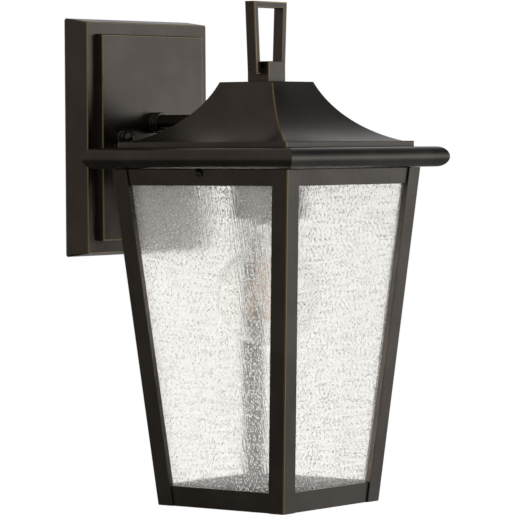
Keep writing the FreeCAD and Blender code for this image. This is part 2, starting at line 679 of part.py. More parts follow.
def finial_block():
    """Square block under the ring, with a window for the ring's lower bar."""
    low = ROOF_TOP_Z + SEAT
    body = slab_between(square_at(BLOCK_HALF, low), square_at(BLOCK_HALF, BLOCK_TOP_Z))
    body = round_edges(body, EDGE / 2, lambda e: max(v.Point.z for v in e.Vertexes) > low + SEAT)
    deep = RING_HALF_DEEP + SEAT
    window = block(-2 * BLOCK_HALF, 2 * BLOCK_HALF, -AXIS_OUT - deep, -AXIS_OUT + deep,
                   RING_BOTTOM_Z - SEAT, RING_BOTTOM_Z + RING_BAR + SEAT)
    hole = rod(FINIAL_STUD_R + SEAT, AXIS + V(0, 0, low), V(0, 0, 1), FINIAL_STUD_IN)
    return body.cut(window).cut(hole)


def finial_nut_z():
    """Top of the nut inside the roof's top."""
    return ROOF_TOP_Z - WALL - SEAT


def finial_stud():
    """Threaded stud from inside the roof up into the block."""
    low = finial_nut_z() - FINIAL_NUT_T - FINIAL_STUD_TAIL
    return rod(FINIAL_STUD_R, AXIS + V(0, 0, low), V(0, 0, 1), ROOF_TOP_Z + FINIAL_STUD_IN - low - SEAT)


def finial_nut():
    """Hexagon nut inside the roof's top."""
    start = AXIS + V(0, 0, finial_nut_z() - FINIAL_NUT_T)
    return hex_bar(FINIAL_NUT_AF, start, V(0, 0, 1), FINIAL_NUT_T, FINIAL_STUD_R + SEAT)


# ---------------------------------------------------------------- cage
CAGE_SIDES = ("front", "right", "rear", "left")


def corner_post(sx, sy):
    """One L-section corner post that leans with the cage."""
    wall = cage_wall(0, POST_T, CAGE_BOTTOM_Z, CAGE_TOP_Z)

    def corner(z):
        inner, outer = cage_half(z) - POST_LEG, cage_half(z) + POST_T
        return [AXIS + V(sx * a, sy * b, z) for a, b in
                ((inner, inner), (outer, inner), (outer, outer), (inner, outer))]
    post = wall.common(slab_between(corner(CAGE_BOTTOM_Z), corner(CAGE_TOP_Z)))

    def on_outside(edge):
        a, b = edge.Vertexes[0].Point, edge.Vertexes[-1].Point
        reach = [max(sx * p.x, sy * (p.y + AXIS_OUT)) - cage_half(p.z) for p in (a, b)]
        return abs(a.z - b.z) > CAGE_H / 2 and min(reach) > -TOUCH
    return round_edges(post, EDGE, on_outside)


def top_rail(turn):
    """Header rail between two posts; side rails are drilled for a cage screw's insert."""
    z0, z1 = TOP_RAIL_Z, CAGE_TOP_Z
    rail = cage_wall(RAIL_SETBACK, POST_T, z0, z1).common(cage_wedge(turn, POST_LEG + SEAT, z0, z1))
    if turn in (1, 3):
        reach = 2 * CAGE_TOP_HALF
        start = AXIS + V(-reach, 0, CAGE_SCREW_Z)
        rail = rail.cut(rod(CAGE_SCREW_R + SWEEP_GAP, start, V(1, 0, 0), 2 * reach))
    return rail


def bottom_rail(turn):
    """Bottom rail with an inward ledge and a lip: the channel that the glass stands in."""
    z0 = CAGE_BOTTOM_Z
    lip_front = GLASS_BACK + LIP_T
    lip_back = lip_front + LIP_T
    face = cage_wall(RAIL_SETBACK, POST_T, z0, BOTTOM_RAIL_Z)
    ledge = cage_wall(RAIL_SETBACK, lip_back, z0, z0 + LEDGE_T)
    lip = cage_wall(lip_front, lip_back, z0, z0 + LEDGE_T + LIP_H)
    ring = face.fuse(ledge).fuse(lip)
    return ring.common(cage_wedge(turn, POST_LEG + SEAT, z0, BOTTOM_RAIL_Z)).removeSplitter()


def glass_pane(turn):
    """Flat seeded pane behind the posts, standing in the bottom channel."""
    z0, z1 = CAGE_BOTTOM_Z + LEDGE_T + GLASS_PLAY, GLASS_TOP_Z
    wall = cage_wall(GLASS_FRONT, GLASS_BACK, z0, z1)
    return wall.common(cage_wedge(turn, GLASS_BACK + GLASS_CORNER_GAP, z0, z1))


def glass_clips():
    """Eight bent tabs: each runs back over a pane's top edge and down behind it."""
    high = GLASS_TOP_Z + 2 * SWEEP_GAP + CLIP_T
    behind = GLASS_BACK + SWEEP_GAP
    over = cage_wall(POST_T + SEAT, behind + CLIP_T, high - CLIP_T, high)
    down = cage_wall(behind, behind + CLIP_T, GLASS_TOP_Z - CLIP_REACH, high)
    ring = over.fuse(down)
    made = []
    for turn in range(4):
        for at in (-CLIP_AT, CLIP_AT):
            slot = block(at - CLIP_W / 2, at + CLIP_W / 2, -2 * CAGE_TOP_HALF, -CAGE_BOTTOM_HALF,
                         GLASS_TOP_Z - CLIP_REACH, high)
            slot.rotate(V(0, 0, 0), V(0, 0, 1), 90 * turn)
            slot.translate(AXIS)
            made.append(ring.common(slot).removeSplitter())
    return made


# ---------------------------------------------------------------- cage screws
def screw_start(side, depth):
    """Point on a cage screw's axis, a depth behind the cage's outer plane."""
    return AXIS + V(side * (cage_half(CAGE_SCREW_Z) - depth), 0, CAGE_SCREW_Z)


def washer_depth():
    """Seat of the screw's washer, clear of the leaning rail."""
    return RAIL_SETBACK - SWEEP_GAP


def cage_screw(side):
    """Round-head screw that hooks its tip into the eave frame's lug."""
    out = V(side, 0, 0)
    seat = washer_depth() - CAGE_WASHER_T - SEAT
    head_base = screw_start(side, seat)
    dome_r = (CAGE_SCREW_HEAD_R ** 2 + CAGE_SCREW_HEAD_T ** 2) / (2 * CAGE_SCREW_HEAD_T)
    dome = Part.makeSphere(dome_r, head_base + out * (CAGE_SCREW_HEAD_T - dome_r))
    head = dome.common(rod(2 * CAGE_SCREW_HEAD_R, head_base, out, 2 * CAGE_SCREW_HEAD_T))
    tip = head_base + out * CAGE_SCREW_HEAD_T
    slot = Part.makeBox(2 * DRIVE_SLOT, 4 * CAGE_SCREW_HEAD_R, DRIVE_SLOT,
                        tip - V(DRIVE_SLOT, 2 * CAGE_SCREW_HEAD_R, DRIVE_SLOT / 2))
    shank = rod(CAGE_SCREW_R, screw_start(side, CAGE_SCREW_REACH), out, CAGE_SCREW_REACH - seat)
    return head.cut(slot).fuse(shank).removeSplitter()


def cage_screw_washer(side):
    """Thin washer under the cage screw's head."""
    start = screw_start(side, washer_depth())
    return tube(CAGE_SCREW_HEAD_R, CAGE_SCREW_R + FIT, start, V(side, 0, 0), CAGE_WASHER_T)


def cage_inserts():
    """Round threaded inserts behind the side header rails."""
    made = []
    for side in (-1, 1):
        start = screw_start(side, POST_T + SWEEP_GAP + INSERT_L)
        made.append(tube(INSERT_R, CAGE_SCREW_R + SEAT, start, V(side, 0, 0), INSERT_L))
    return made


# ---------------------------------------------------------------- socket
def bracket_screw_places():
    """Y of the two bracket screws."""
    return [-AXIS_OUT + s * BRACKET_SCREW_AT for s in (-1, 1)]


def socket_bracket():
    """Flat steel bar across the eave frame that carries the socket."""
    low = BRACKET_Z + SEAT
    bar = block(-BRACKET_W / 2, BRACKET_W / 2, -AXIS_OUT - BRACKET_L / 2, -AXIS_OUT + BRACKET_L / 2,
                low, low + BRACKET_T)
    bar = bar.cut(rod(NIPPLE_R + FIT, AXIS + V(0, 0, low), V(0, 0, 1), BRACKET_T))
    for y in bracket_screw_places():
        bar = bar.cut(rod(BRACKET_SCREW_R + FIT, V(0, y, low), V(0, 0, 1), BRACKET_T))
    return bar


def bracket_screws():
    """Pan-head screws up through the eave frame and the bracket."""
    made = []
    for y in bracket_screw_places():
        seat = EAVE_BOTTOM_Z - SEAT
        head = rod(BRACKET_HEAD_R, V(0, y, seat - BRACKET_HEAD_T), V(0, 0, 1), BRACKET_HEAD_T)
        length = WALL + BRACKET_T + BRACKET_NUT_T + BRACKET_SCREW_R
        made.append(head.fuse(rod(BRACKET_SCREW_R, V(0, y, seat), V(0, 0, 1), length)).removeSplitter())
    return made


def bracket_nuts():
    """Hexagon nuts on the bracket screws."""
    z = BRACKET_TOP_Z + 2 * SEAT
    return [hex_bar(BRACKET_NUT_AF, V(0, y, z), V(0, 0, 1), BRACKET_NUT_T, BRACKET_SCREW_R + SEAT)
            for y in bracket_screw_places()]


def socket_nipple():
    """Hollow threaded nipple through the bracket and the cup into the holder."""
    low = HOLDER_TOP_Z - HOLDER_TOP_T + CONTACT_T
    high = BRACKET_TOP_Z + NIPPLE_STAND
    return tube(NIPPLE_R, NIPPLE_BORE_R, AXIS + V(0, 0, low), V(0, 0, 1), high - low)


def socket_nut():
    """Hexagon nut that clamps the nipple on the bracket."""
    start = AXIS + V(0, 0, BRACKET_TOP_Z + 2 * SEAT)
    return hex_bar(NIPPLE_NUT_AF, start, V(0, 0, 1), NIPPLE_NUT_T, NIPPLE_R + SEAT)


def socket_cup():
    """Round metal cup, open below, that hides the holder."""
    shell = rod(CUP_R, AXIS + V(0, 0, CUP_MOUTH_Z), V(0, 0, 1), CUP_H)
    shell = round_edges(shell, 2 * EDGE, lambda e: all(v.Point.z > CUP_TOP_Z - CUP_T for v in e.Vertexes)
                        and len(e.Vertexes) == 1)
    shell = shell.cut(rod(CUP_R - CUP_T, AXIS + V(0, 0, CUP_MOUTH_Z), V(0, 0, 1), CUP_H - CUP_T))
    return shell.cut(rod(NIPPLE_R + FIT, AXIS + V(0, 0, CUP_TOP_Z - 2 * CUP_T), V(0, 0, 1), 3 * CUP_T))


def socket_holder():
    """Porcelain lampholder body with a bore for the screw shell."""
    body = rod(HOLDER_R, AXIS + V(0, 0, HOLDER_BOTTOM_Z), V(0, 0, 1), HOLDER_TOP_Z - HOLDER_BOTTOM_Z)
    bore = rod(SHELL_R + SHELL_T + SEAT, AXIS + V(0, 0, HOLDER_BOTTOM_Z), V(0, 0, 1),
               CONTACT_Z - HOLDER_BOTTOM_Z)
    hole = rod(NIPPLE_R + SEAT, AXIS + V(0, 0, CONTACT_Z + CONTACT_T), V(0, 0, 1), HOLDER_TOP_T)
    wires = rod(NIPPLE_BORE_R, AXIS + V(0, 0, CONTACT_Z), V(0, 0, 1), HOLDER_TOP_T)
    return body.cut(bore).cut(hole).cut(wires)


def socket_shell():
    """Brass screw shell inside the holder."""
    low = HOLDER_BOTTOM_Z + 2 * SHELL_T
    return tube(SHELL_R + SHELL_T, SHELL_R, AXIS + V(0, 0, low), V(0, 0, 1), CONTACT_Z - low - 2 * CONTACT_T)


def socket_contact():
    """Brass centre contact at the top of the holder's bore."""
    return rod(CONTACT_R, AXIS + V(0, 0, CONTACT_Z - CONTACT_T), V(0, 0, 1), CONTACT_T - SEAT)


# ---------------------------------------------------------------- lamp
def lamp_tip():
    """Centre contact button of the lamp."""
    return rod(TIP_R, AXIS + V(0, 0, NOSE_TOP_Z + SEAT), V(0, 0, 1), TIP_H - SEAT)


def lamp_nose():
    """Black insulator cone between the tip and the base."""
    return Part.makeCone(BASE_R - 2 * BASE_T, BASE_NOSE_R, BASE_NOSE_H - SEAT,
                         AXIS + V(0, 0, BASE_TOP_Z + SEAT), V(0, 0, 1))


def lamp_base():
    """Brass screw base, a thin cup."""
    low = LAMP_RIM_Z
    shell = tube(BASE_R, BASE_R - BASE_T, AXIS + V(0, 0, low), V(0, 0, 1), BASE_TOP_Z - low)
    top = rod(BASE_R - BASE_T / 2, AXIS + V(0, 0, BASE_TOP_Z - 2 * BASE_T), V(0, 0, 1), 2 * BASE_T)
    return shell.fuse(top).removeSplitter()


def lamp_outline(inset):
    """Points of the lamp's profile: sphere, concave flank and straight neck."""
    ball, neck = LAMP_R - inset, LAMP_NECK_R - inset
    drop = LAMP_NECK_Z - LAMP_CENTRE_Z
    flank_r = (LAMP_NECK_R ** 2 + drop ** 2 - LAMP_R ** 2) / (2 * (LAMP_R - LAMP_NECK_R))
    lean = math.atan2(drop, LAMP_NECK_R + flank_r)
    join = V(ball * math.cos(lean), 0, LAMP_CENTRE_Z + ball * math.sin(lean))
    low_turn = (lean - math.pi / 2) / 2
    ball_mid = V(ball * math.cos(low_turn), 0, LAMP_CENTRE_Z + ball * math.sin(low_turn))
    half = math.pi + lean / 2
    flank = flank_r + inset
    flank_mid = V(LAMP_NECK_R + flank_r + flank * math.cos(half), 0, LAMP_NECK_Z + flank * math.sin(half))
    pole = V(0, 0, LAMP_CENTRE_Z - ball)
    throat = V(neck, 0, LAMP_NECK_Z)
    return pole, ball_mid, join, flank_mid, throat


def lamp_envelope():
    """Hollow clear glass bulb whose neck ends inside the base."""
    top = LAMP_RIM_Z + LAMP_NECK_L
    pole, ball_mid, join, flank_mid, throat = lamp_outline(0)
    pole_in, ball_in, join_in, flank_in, throat_in = lamp_outline(LAMP_GLASS)
    rim = V(throat.x, 0, top)
    rim_in = V(throat_in.x, 0, top)
    return turned([arc(pole, ball_mid, join), arc(join, flank_mid, throat), line(throat, rim),
                   line(rim, rim_in), line(rim_in, throat_in), arc(throat_in, flank_in, join_in),
                   arc(join_in, ball_in, pole_in), line(pole_in, pole)])


def lamp_stem():
    """Glass stem: a flared foot in the neck and a thin rod down the middle."""
    foot_z = LAMP_RIM_Z + LAMP_NECK_L - SEAT
    shoulder_z = CUP_MOUTH_Z - FILAMENT_TOP_DROP + 3 * STEM_R
    tip_z = CUP_MOUTH_Z - FILAMENT_BOTTOM_DROP - STEM_ROD_R
    foot_r = LAMP_NECK_R - LAMP_GLASS - SEAT
    foot = Part.makeCone(foot_r, STEM_R, 2 * STEM_R, AXIS + V(0, 0, foot_z), V(0, 0, -1))
    barrel = Part.makeCone(STEM_R, 2 * STEM_ROD_R, foot_z - 2 * STEM_R - shoulder_z + 2 * STEM_R,
                           AXIS + V(0, 0, foot_z - 2 * STEM_R), V(0, 0, -1))
    thin = rod(STEM_ROD_R, AXIS + V(0, 0, shoulder_z), V(0, 0, -1), shoulder_z - tip_z)
    return foot.fuse(barrel).fuse(thin).removeSplitter()


def filament_ends(index):
    """Top and bottom points of one filament strip."""
    turn = 2 * math.pi * (index + 0.5) / FILAMENT_COUNT
    way = V(math.cos(turn), math.sin(turn), 0)
    top = AXIS + way * FILAMENT_TOP_SPREAD + V(0, 0, CUP_MOUTH_Z - FILAMENT_TOP_DROP)
    low = AXIS + way * FILAMENT_BOTTOM_SPREAD + V(0, 0, CUP_MOUTH_Z - FILAMENT_BOTTOM_DROP)
    return top, low, way


def lamp_filaments():
    """Four coated strips that spread downwards, each on a fine wire from the stem's rod."""
    made = []
    for index in range(FILAMENT_COUNT):
        top, low, way = filament_ends(index)
        strip = rod(FILAMENT_R, top, low - top, (low - top).Length)
        start = AXIS + way * (STEM_ROD_R + SEAT) + V(0, 0, low.z + FILAMENT_R)
        wire = rod(WIRE_R, start, way, FILAMENT_BOTTOM_SPREAD - STEM_ROD_R)
        made.append(strip.fuse(wire).removeSplitter())
    return made


# ---------------------------------------------------------------- leads
def lead(side):
    """Insulated lead: up through the nipple, round a bend and back through the arm."""
    x = side * LEAD_APART
    start = V(x, -AXIS_OUT, CONTACT_Z + SEAT)
    bend_start = V(x, -AXIS_OUT, ARM_Z - LEAD_BEND)
    centre = V(x, -AXIS_OUT + LEAD_BEND, ARM_Z - LEAD_BEND)
    diagonal = LEAD_BEND / math.sqrt(2)
    bend_mid = centre + V(0, -diagonal, diagonal)
    bend_end = centre + V(0, 0, LEAD_BEND)
    end = V(x, ARM_REAR_Y + LEAD_TAIL, ARM_Z)
    path = Part.Wire([line(start, bend_start), arc(bend_start, bend_mid, bend_end), line(bend_end, end)])
    section = Part.Wire(Part.makeCircle(LEAD_R, start, V(0, 0, 1)))
    return path.makePipeShell([section], True, True)


# ---------------------------------------------------------------- build
def build():
    """Write every sub-part."""
    save("wall_gasket", wall_gasket())
    save("backplate_pan", backplate_pan())
    save("backplate_panel", backplate_panel())
    save("mounting_strap", mounting_strap())
    save("mounting_studs", mounting_studs())
    save("stud_lock_nuts", stud_lock_nuts())
    save("ground_screw", ground_screw())
    for name, side in (("left", -1), ("right", 1)):
        save("cap_seal_" + name, cap_seal(side))
        save("cap_nut_" + name, cap_nut(side))
        save("cage_screw_" + name, cage_screw(side))
        save("cage_screw_washer_" + name, cage_screw_washer(side))
    save("arm_tube", arm_tube())
    save("arm_collar", arm_collar())
    save("arm_lock_nuts", arm_lock_nuts())
    save("arm_lock_washer", arm_lock_washer())
    save("roof_crown", roof_crown())
    save("roof_screws", roof_screws())
    save("eave_frame", eave_frame())
    save("finial_ring", finial_ring())
    save("finial_block", finial_block())
    save("finial_stud", finial_stud())
    save("finial_nut", finial_nut())
    for name_y, sy in (("front", -1), ("rear", 1)):
        for name_x, sx in (("left", -1), ("right", 1)):
            save("corner_post_" + name_y + "_" + name_x, corner_post(sx, sy))
    for turn, name in enumerate(CAGE_SIDES):
        save("top_rail_" + name, top_rail(turn))
        save("bottom_rail_" + name, bottom_rail(turn))
        save("glass_pane_" + name, glass_pane(turn))
    save("glass_clips", glass_clips())
    save("cage_inserts", cage_inserts())
    save("socket_bracket", socket_bracket())
    save("bracket_screws", bracket_screws())
    save("bracket_nuts", bracket_nuts())
    save("socket_nipple", socket_nipple())
    save("socket_nut", socket_nut())
    save("socket_cup", socket_cup())
    save("socket_holder", socket_holder())
    save("socket_shell", socket_shell())
    save("socket_contact", socket_contact())
    save("lamp_tip", lamp_tip())
    save("lamp_nose", lamp_nose())
    save("lamp_base", lamp_base())
    save("lamp_envelope", lamp_envelope())
    save("lamp_stem", lamp_stem())
    save("lamp_filaments", lamp_filaments())
    save("socket_leads", [lead(-1), lead(1)])


build()
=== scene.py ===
"""Looks of an outdoor wall lantern, built round its CAD frame.

Each piece is a surface worked out from a few sizes: a boxy loft, a turned profile, a helical
thread or a section carried along a path. Sizes are in metres, in the frame of the CAD model.
"""

import json
import math

import bpy
import numpy as np
from bpy.props import FloatProperty, FloatVectorProperty, IntProperty, PointerProperty
from mathutils import Matrix, Vector

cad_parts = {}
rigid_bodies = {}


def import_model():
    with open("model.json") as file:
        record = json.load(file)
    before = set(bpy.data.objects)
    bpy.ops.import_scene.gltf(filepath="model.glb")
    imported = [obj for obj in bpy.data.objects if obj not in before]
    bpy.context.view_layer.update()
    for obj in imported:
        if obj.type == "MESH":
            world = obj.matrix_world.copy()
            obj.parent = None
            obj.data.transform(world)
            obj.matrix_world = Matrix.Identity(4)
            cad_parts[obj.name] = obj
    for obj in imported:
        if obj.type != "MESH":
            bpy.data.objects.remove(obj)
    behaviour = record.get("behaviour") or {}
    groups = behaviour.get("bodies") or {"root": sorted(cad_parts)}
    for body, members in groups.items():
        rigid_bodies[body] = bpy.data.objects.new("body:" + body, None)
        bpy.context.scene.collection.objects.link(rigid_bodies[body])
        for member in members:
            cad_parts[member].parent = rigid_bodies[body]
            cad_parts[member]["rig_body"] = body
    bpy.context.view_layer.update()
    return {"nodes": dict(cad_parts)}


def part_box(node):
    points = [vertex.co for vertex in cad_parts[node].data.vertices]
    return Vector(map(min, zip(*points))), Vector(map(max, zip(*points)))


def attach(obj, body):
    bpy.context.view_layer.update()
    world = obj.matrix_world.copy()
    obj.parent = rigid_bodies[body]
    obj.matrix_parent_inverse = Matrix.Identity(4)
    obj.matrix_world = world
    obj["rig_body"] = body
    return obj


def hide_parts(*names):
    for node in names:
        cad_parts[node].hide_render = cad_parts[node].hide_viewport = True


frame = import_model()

bl_info = {
    "name": "Wall Lantern",
    "version": (1, 0, 0),
    "blender": (4, 5, 0),
    "location": "3D View > Sidebar > Lantern",
    "description": "Builds the pieces, finishes and studio of a bronze wall lantern",
    "category": "Add Mesh",
}

MM = 0.001
AXIS_Y = (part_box("finial_block")[0].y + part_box("finial_block")[1].y) / 2
SIDES = ("front", "right", "rear", "left")

# sizes shared with the CAD model
FIT = 0.1 * MM  # gap round a piece that sits in another
SEAT = 0.05 * MM  # gap of a seated joint
PAN_DRAFT = (1.7 * MM, 2.5 * MM)  # lean of the pan's sides, across and up
PANEL_DRAFT = (0.5 * MM, 0.5 * MM)
GASKET_BAND = 6 * MM
STUD_THREAD = (0.30 * MM, 0.794 * MM)  # depth and pitch
STUD_NUT_FLATS = 8.7 * MM
CAP_BORE = 2.15 * MM
CAP_BORE_L = 5.8 * MM
CAP_NECK = 3.6 * MM
CAP_WAIST = 2.1 * MM  # height where the ball starts
SEAL_BORE = 2.5 * MM
ARM_BORE = 3.9 * MM
ARM_NUT_FLATS = 15 * MM
ARM_NUT_T = 4 * MM
COLLAR_GROOVE_R = 6.5 * MM
COLLAR_GROOVES = (0.3, 0.62)  # starts, along the collar
COLLAR_GROOVE_W = 1.0 * MM
ROOF_LEDGE = 3.9 * MM
BOSS_HALF = (10 * MM, 9 * MM)  # half width and depth of the roof's arm boss
BOSS_AT = 37 * MM  # behind the lantern's axis
EAVE_H = 13.7 * MM
EAVE_OPEN_TOP = 54 * MM
EAVE_OPEN_LOW = 62 * MM
RIB_AT = 69.4 * MM
RIB_RISE = 1.4 * MM
LUG_AT = 66.27 * MM
LUG_THICK = 2.2 * MM
LUG_SLOT_R = 1.75 * MM
LUG_HALF = 7 * MM
LUG_DROP = 7.8 * MM
RING_FOOT_HALF = 15.6 * MM
FINIAL_STUD_R = 2.4 * MM
FINIAL_THREAD = (0.28 * MM, 0.8 * MM)
FINIAL_NUT_FLATS = 8 * MM
CAGE_SLOPE = 21.1 / 227.1
HEADER_H = 10.9 * MM
SILL_H = 13.7 * MM
SILL_T = 2 * MM
LIP_T = 1.2 * MM  # inner lip of the sill, and the clip before it
LIP_H = 7 * MM
PANE_LIFT = 2.05 * MM  # pane's foot above the cage's foot
PANE_DROP = 5.7 * MM  # pane's head below the cage's head
CUP_WALL = 1.2 * MM
CUP_HOLE = 5 * MM
HOLDER_BORE = 14 * MM
HOLDER_FLOOR = 5 * MM
HOLDER_WELL = (4.85 * MM, 4.2 * MM)  # radius and depth round the nipple
NIPPLE_R = 4.8 * MM
NIPPLE_BORE = 3.4 * MM
NIPPLE_THREAD = (0.35 * MM, 0.94 * MM)
NIPPLE_NUT_FLATS = 14 * MM
BRACKET_NUT_FLATS = 6.4 * MM
BRACKET_NUT_BORE = 1.95 * MM
LAMP_NECK = 12.6 * MM
LAMP_THROAT = 9 * MM
BASE_R = 13.1 * MM
BASE_THREAD = (0.85 * MM, 3.63 * MM)
BASE_END = 0.8 * MM  # plain ends of the screw base
BASE_BORE = 12.2 * MM
BASE_LID = 1.5 * MM
STRIP_HALF = 0.9 * MM
STRIP_HEAD = 4.6 * MM  # strips' heads and feet from the axis
STRIP_FOOT = 11.6 * MM

SLOPE_ROWS = 40  # rows down the roof's slope


# ---------------------------------------------------------------- sizes and looks
def length(label, text, value):
    """A size in metres, given in millimetres."""
    return FloatProperty(name=label, description=text, default=value * MM, unit="LENGTH", precision=5)


def colour(label, text, value):
    """A linear colour."""
    return FloatVectorProperty(name=label, description=text, default=value, size=3, subtype="COLOR",
                               min=0.0, max=1.0)


class LANTERN_PG_sizes(bpy.types.PropertyGroup):
    """Sizes of the metal and glass pieces."""
    wall: length("Wall", "Thickness of the cast and pressed shells", 2.0)
    edge: length("Edge", "Rounding of the exposed edges", 0.75)
    rub: length("Rub", "How far the rubbed finish reaches past an edge's rounding", 0.35)
    roof_sweep: length("Roof sweep", "Radius of the concave roof slope", 70.3)
    roof_top: length("Roof top", "Half width of the roof's flat top", 22.8)
    roof_foot: length("Roof foot", "Half width where the slope meets the ledge", 66.0)
    post_leg: length("Post leg", "Width of each leg of a corner post", 12.7)
    post_wall: length("Post wall", "Thickness of a corner post", 4.0)
    setback: length("Rail setback", "How far the rails sit behind the posts", 1.3)
    glass: length("Glass", "Thickness of the panes", 3.0)
    glass_tuck: length("Glass tuck", "Width of glass held behind each post", 5.2)
    ring_bar: length("Ring bar", "Bar of the finial's ring", 4.25)
    lamp: length("Lamp", "Radius of the lamp's round bulb", 33.7)
    lamp_wall: length("Lamp wall", "Thickness of the lamp's glass", 0.8)
    seeds: IntProperty(name="Seeds", description="Small bubbles in each pane", default=260, min=0)


class LANTERN_PG_look(bpy.types.PropertyGroup):
    """Colours of the finishes and strengths of the studio."""
    bronze: colour("Bronze", "Dark antique bronze paint", (0.205, 0.182, 0.158))
    bronze_deep: colour("Deep bronze", "Bronze where the paint lies thicker", (0.150, 0.131, 0.114))
    # The brass also paints highlights: the band on the eave's upper shoulder and part of the front-left
    # post's edge.
    brass: colour("Rubbed brass", "Metal that shows on the rubbed edges", (0.56, 0.44, 0.24))
    zinc: colour("Zinc", "Plated steel hardware", (0.60, 0.60, 0.58))
    glow: FloatProperty(name="Right side", description="Brightness of the studio's lit side", default=0.62)
    gloom: FloatProperty(name="Left side", description="Brightness of the studio's dim side", default=0.165)
    key: FloatProperty(name="Key light", description="Soft light from the front right", default=0.25,
                       subtype="POWER", unit="POWER")
    fill: FloatProperty(name="Fill light", description="Soft light from above", default=0.1,
                        subtype="POWER", unit="POWER")


# ---------------------------------------------------------------- surfaces
def flipped(part):
    """The same surface with its faces turned round if it encloses a negative volume."""
    points, faces, rub = part
    fans = [(f[0], f[k], f[k + 1]) for f in faces for k in range(1, len(f) - 1)]
    tri = points[np.array(fans)]
    volume = np.einsum("ij,ij->", tri[:, 0], np.cross(tri[:, 1], tri[:, 2]))
    return (points, [f[::-1] for f in faces], rub) if volume < 0 else part


def grid(points, rub=None, wrap_rows=False, wrap_cols=True, caps=True):
    """Closed surface over a grid: the point at (row, column) joins its next row and column."""
    rows, cols = points.shape[:2]
    index = np.arange(rows * cols).reshape(rows, cols)
    r = np.arange(rows if wrap_rows else rows - 1)[:, None]
    c = np.arange(cols if wrap_cols else cols - 1)[None, :]
    r2, c2 = (r + 1) % rows, (c + 1) % cols
    quads = np.stack([index[r, c], index[r, c2], index[r2, c2], index[r2, c]], -1)
    faces = quads.reshape(-1, 4).tolist()
    if caps and not wrap_rows:
        faces += [index[0, ::-1].tolist(), index[-1].tolist()]
    rub = np.zeros((rows, cols)) if rub is None else np.broadcast_to(rub, (rows, cols))
    return flipped((points.reshape(-1, 3), faces, rub.reshape(-1)))


def joined(parts):
    """Several closed surfaces as one list of points and faces."""
    starts = np.cumsum([0] + [len(p[0]) for p in parts])
    faces = [[v + int(s) for v in f] for p, s in zip(parts, starts) for f in p[1]]
    return np.concatenate([p[0] for p in parts]), faces, np.concatenate([p[2] for p in parts])


def softened(points, radius, worn=0.0, margin=0.0, steps=4, closed=True):
    """Outline with each corner C rounded between A and B, set back along its two sides.

    The curve is (1-s)^2 A + 2 s (1-s) C + s^2 B for s from 0 to 1. The set-back is the radius
    times the tangent of half the corner's turn. Returns the points and how rubbed each is.
    """
    p = np.asarray(points, float)
    count = len(p)
    radius, worn, margin = (np.broadcast_to(np.asarray(x, float), (count,)) for x in (radius, worn, margin))
    before, after = p - np.roll(p, 1, 0), np.roll(p, -1, 0) - p
    if not closed:
        before[0], after[-1] = after[0], before[-1]
    len_b, len_a = np.linalg.norm(before, axis=1), np.linalg.norm(after, axis=1)
    u, v = before / len_b[:, None], after / len_a[:, None]
    cos = np.clip((u * v).sum(1), -0.999, 1.0)
    room = 0.45 * np.minimum(len_a, len_b)
    back = np.minimum(radius * np.sqrt((1 - cos) / (1 + cos)), room)
    spare = np.minimum(margin, room - back) * (back > 0)
    a, b = p - u * back[:, None], p + v * back[:, None]
    s = np.linspace(0, 1, steps)[None, :, None]
    curve = (1 - s) ** 2 * a[:, None] + 2 * s * (1 - s) * p[:, None] + s ** 2 * b[:, None]
    rows = np.concatenate([(a - u * spare[:, None])[:, None], curve, (b + v * spare[:, None])[:, None]], 1)
    wear = np.zeros((count, steps + 2))
    wear[:, 1:-1] = (worn * (back > 0))[:, None]
    rows, wear = rows.reshape(-1, p.shape[1]), wear.reshape(-1)
    last = np.roll(rows, 1, 0)
    if not closed:
        last[0] = rows[0] + 1
    keep = np.linalg.norm(rows - last, axis=1) > 1e-9
    return rows[keep], wear[keep]


def corner_template(steps):
    """Quarter round with a point on each flat beside it: directions, flat offsets and rub."""
    angle = np.linspace(0, math.pi / 2, steps)
    turn = np.concatenate([[0], angle, [math.pi / 2]])
    flat = np.zeros((steps + 2, 2))
    flat[0, 1] = flat[-1, 0] = 1
    wear = np.ones(steps + 2)
    wear[[0, -1]] = 0
    return np.stack([np.cos(turn), np.sin(turn)], 1), flat, wear


def mirrored(quarter):
    """Closed sections from their first corner, mirrored to the other three."""
    return np.concatenate([quarter, quarter[:, ::-1] * (-1, 1), quarter * (-1, -1),
                           quarter[:, ::-1] * (1, -1)], 1)


def boxy(profile, radius, wear_along=0.0, wear_corner=1.0, margin=0.00035, steps=4, along="z", centre=None):
    """Loft of rounded rectangles: row t has half sizes a(t) and b(t) at height h(t).

    A corner point is (a - r, b - r) + r (cos, sin), mirrored to the four corners. along "z" stacks
    the rows up about the lantern's axis, and along "y" stacks them out from the wall.
    """
    a, b, h = np.asarray(profile, float).T
    r = np.minimum(radius, 0.9 * np.minimum(a, b))
    spare = np.minimum(margin, np.maximum(0.9 * (np.minimum(a, b) - r), 0))
    way, flat, wear = corner_template(steps)
    quarter = (np.stack([a - r, b - r], 1)[:, None] + r[:, None, None] * way[None]
               - spare[:, None, None] * flat[None])
    section = mirrored(quarter)
    rub = np.concatenate([wear, wear[::-1], wear, wear[::-1]])[None]
    wear_along, wear_corner = (np.broadcast_to(np.asarray(w, float), a.shape)[:, None]
                               for w in (wear_along, wear_corner))
    rub = np.maximum(wear_along, rub * wear_corner)
    x, y = section[..., 0], section[..., 1]
    height = np.broadcast_to(h[:, None], x.shape)
    if centre is not None:
        cx, cy = (np.broadcast_to(np.asarray(c, float), a.shape)[:, None] for c in centre)
        x, y = x + cx, y + cy
    if along == "z":
        points = np.stack([x, y, height], -1)
    else:
        points = np.stack([x, height, y], -1)
    return grid(points, rub)


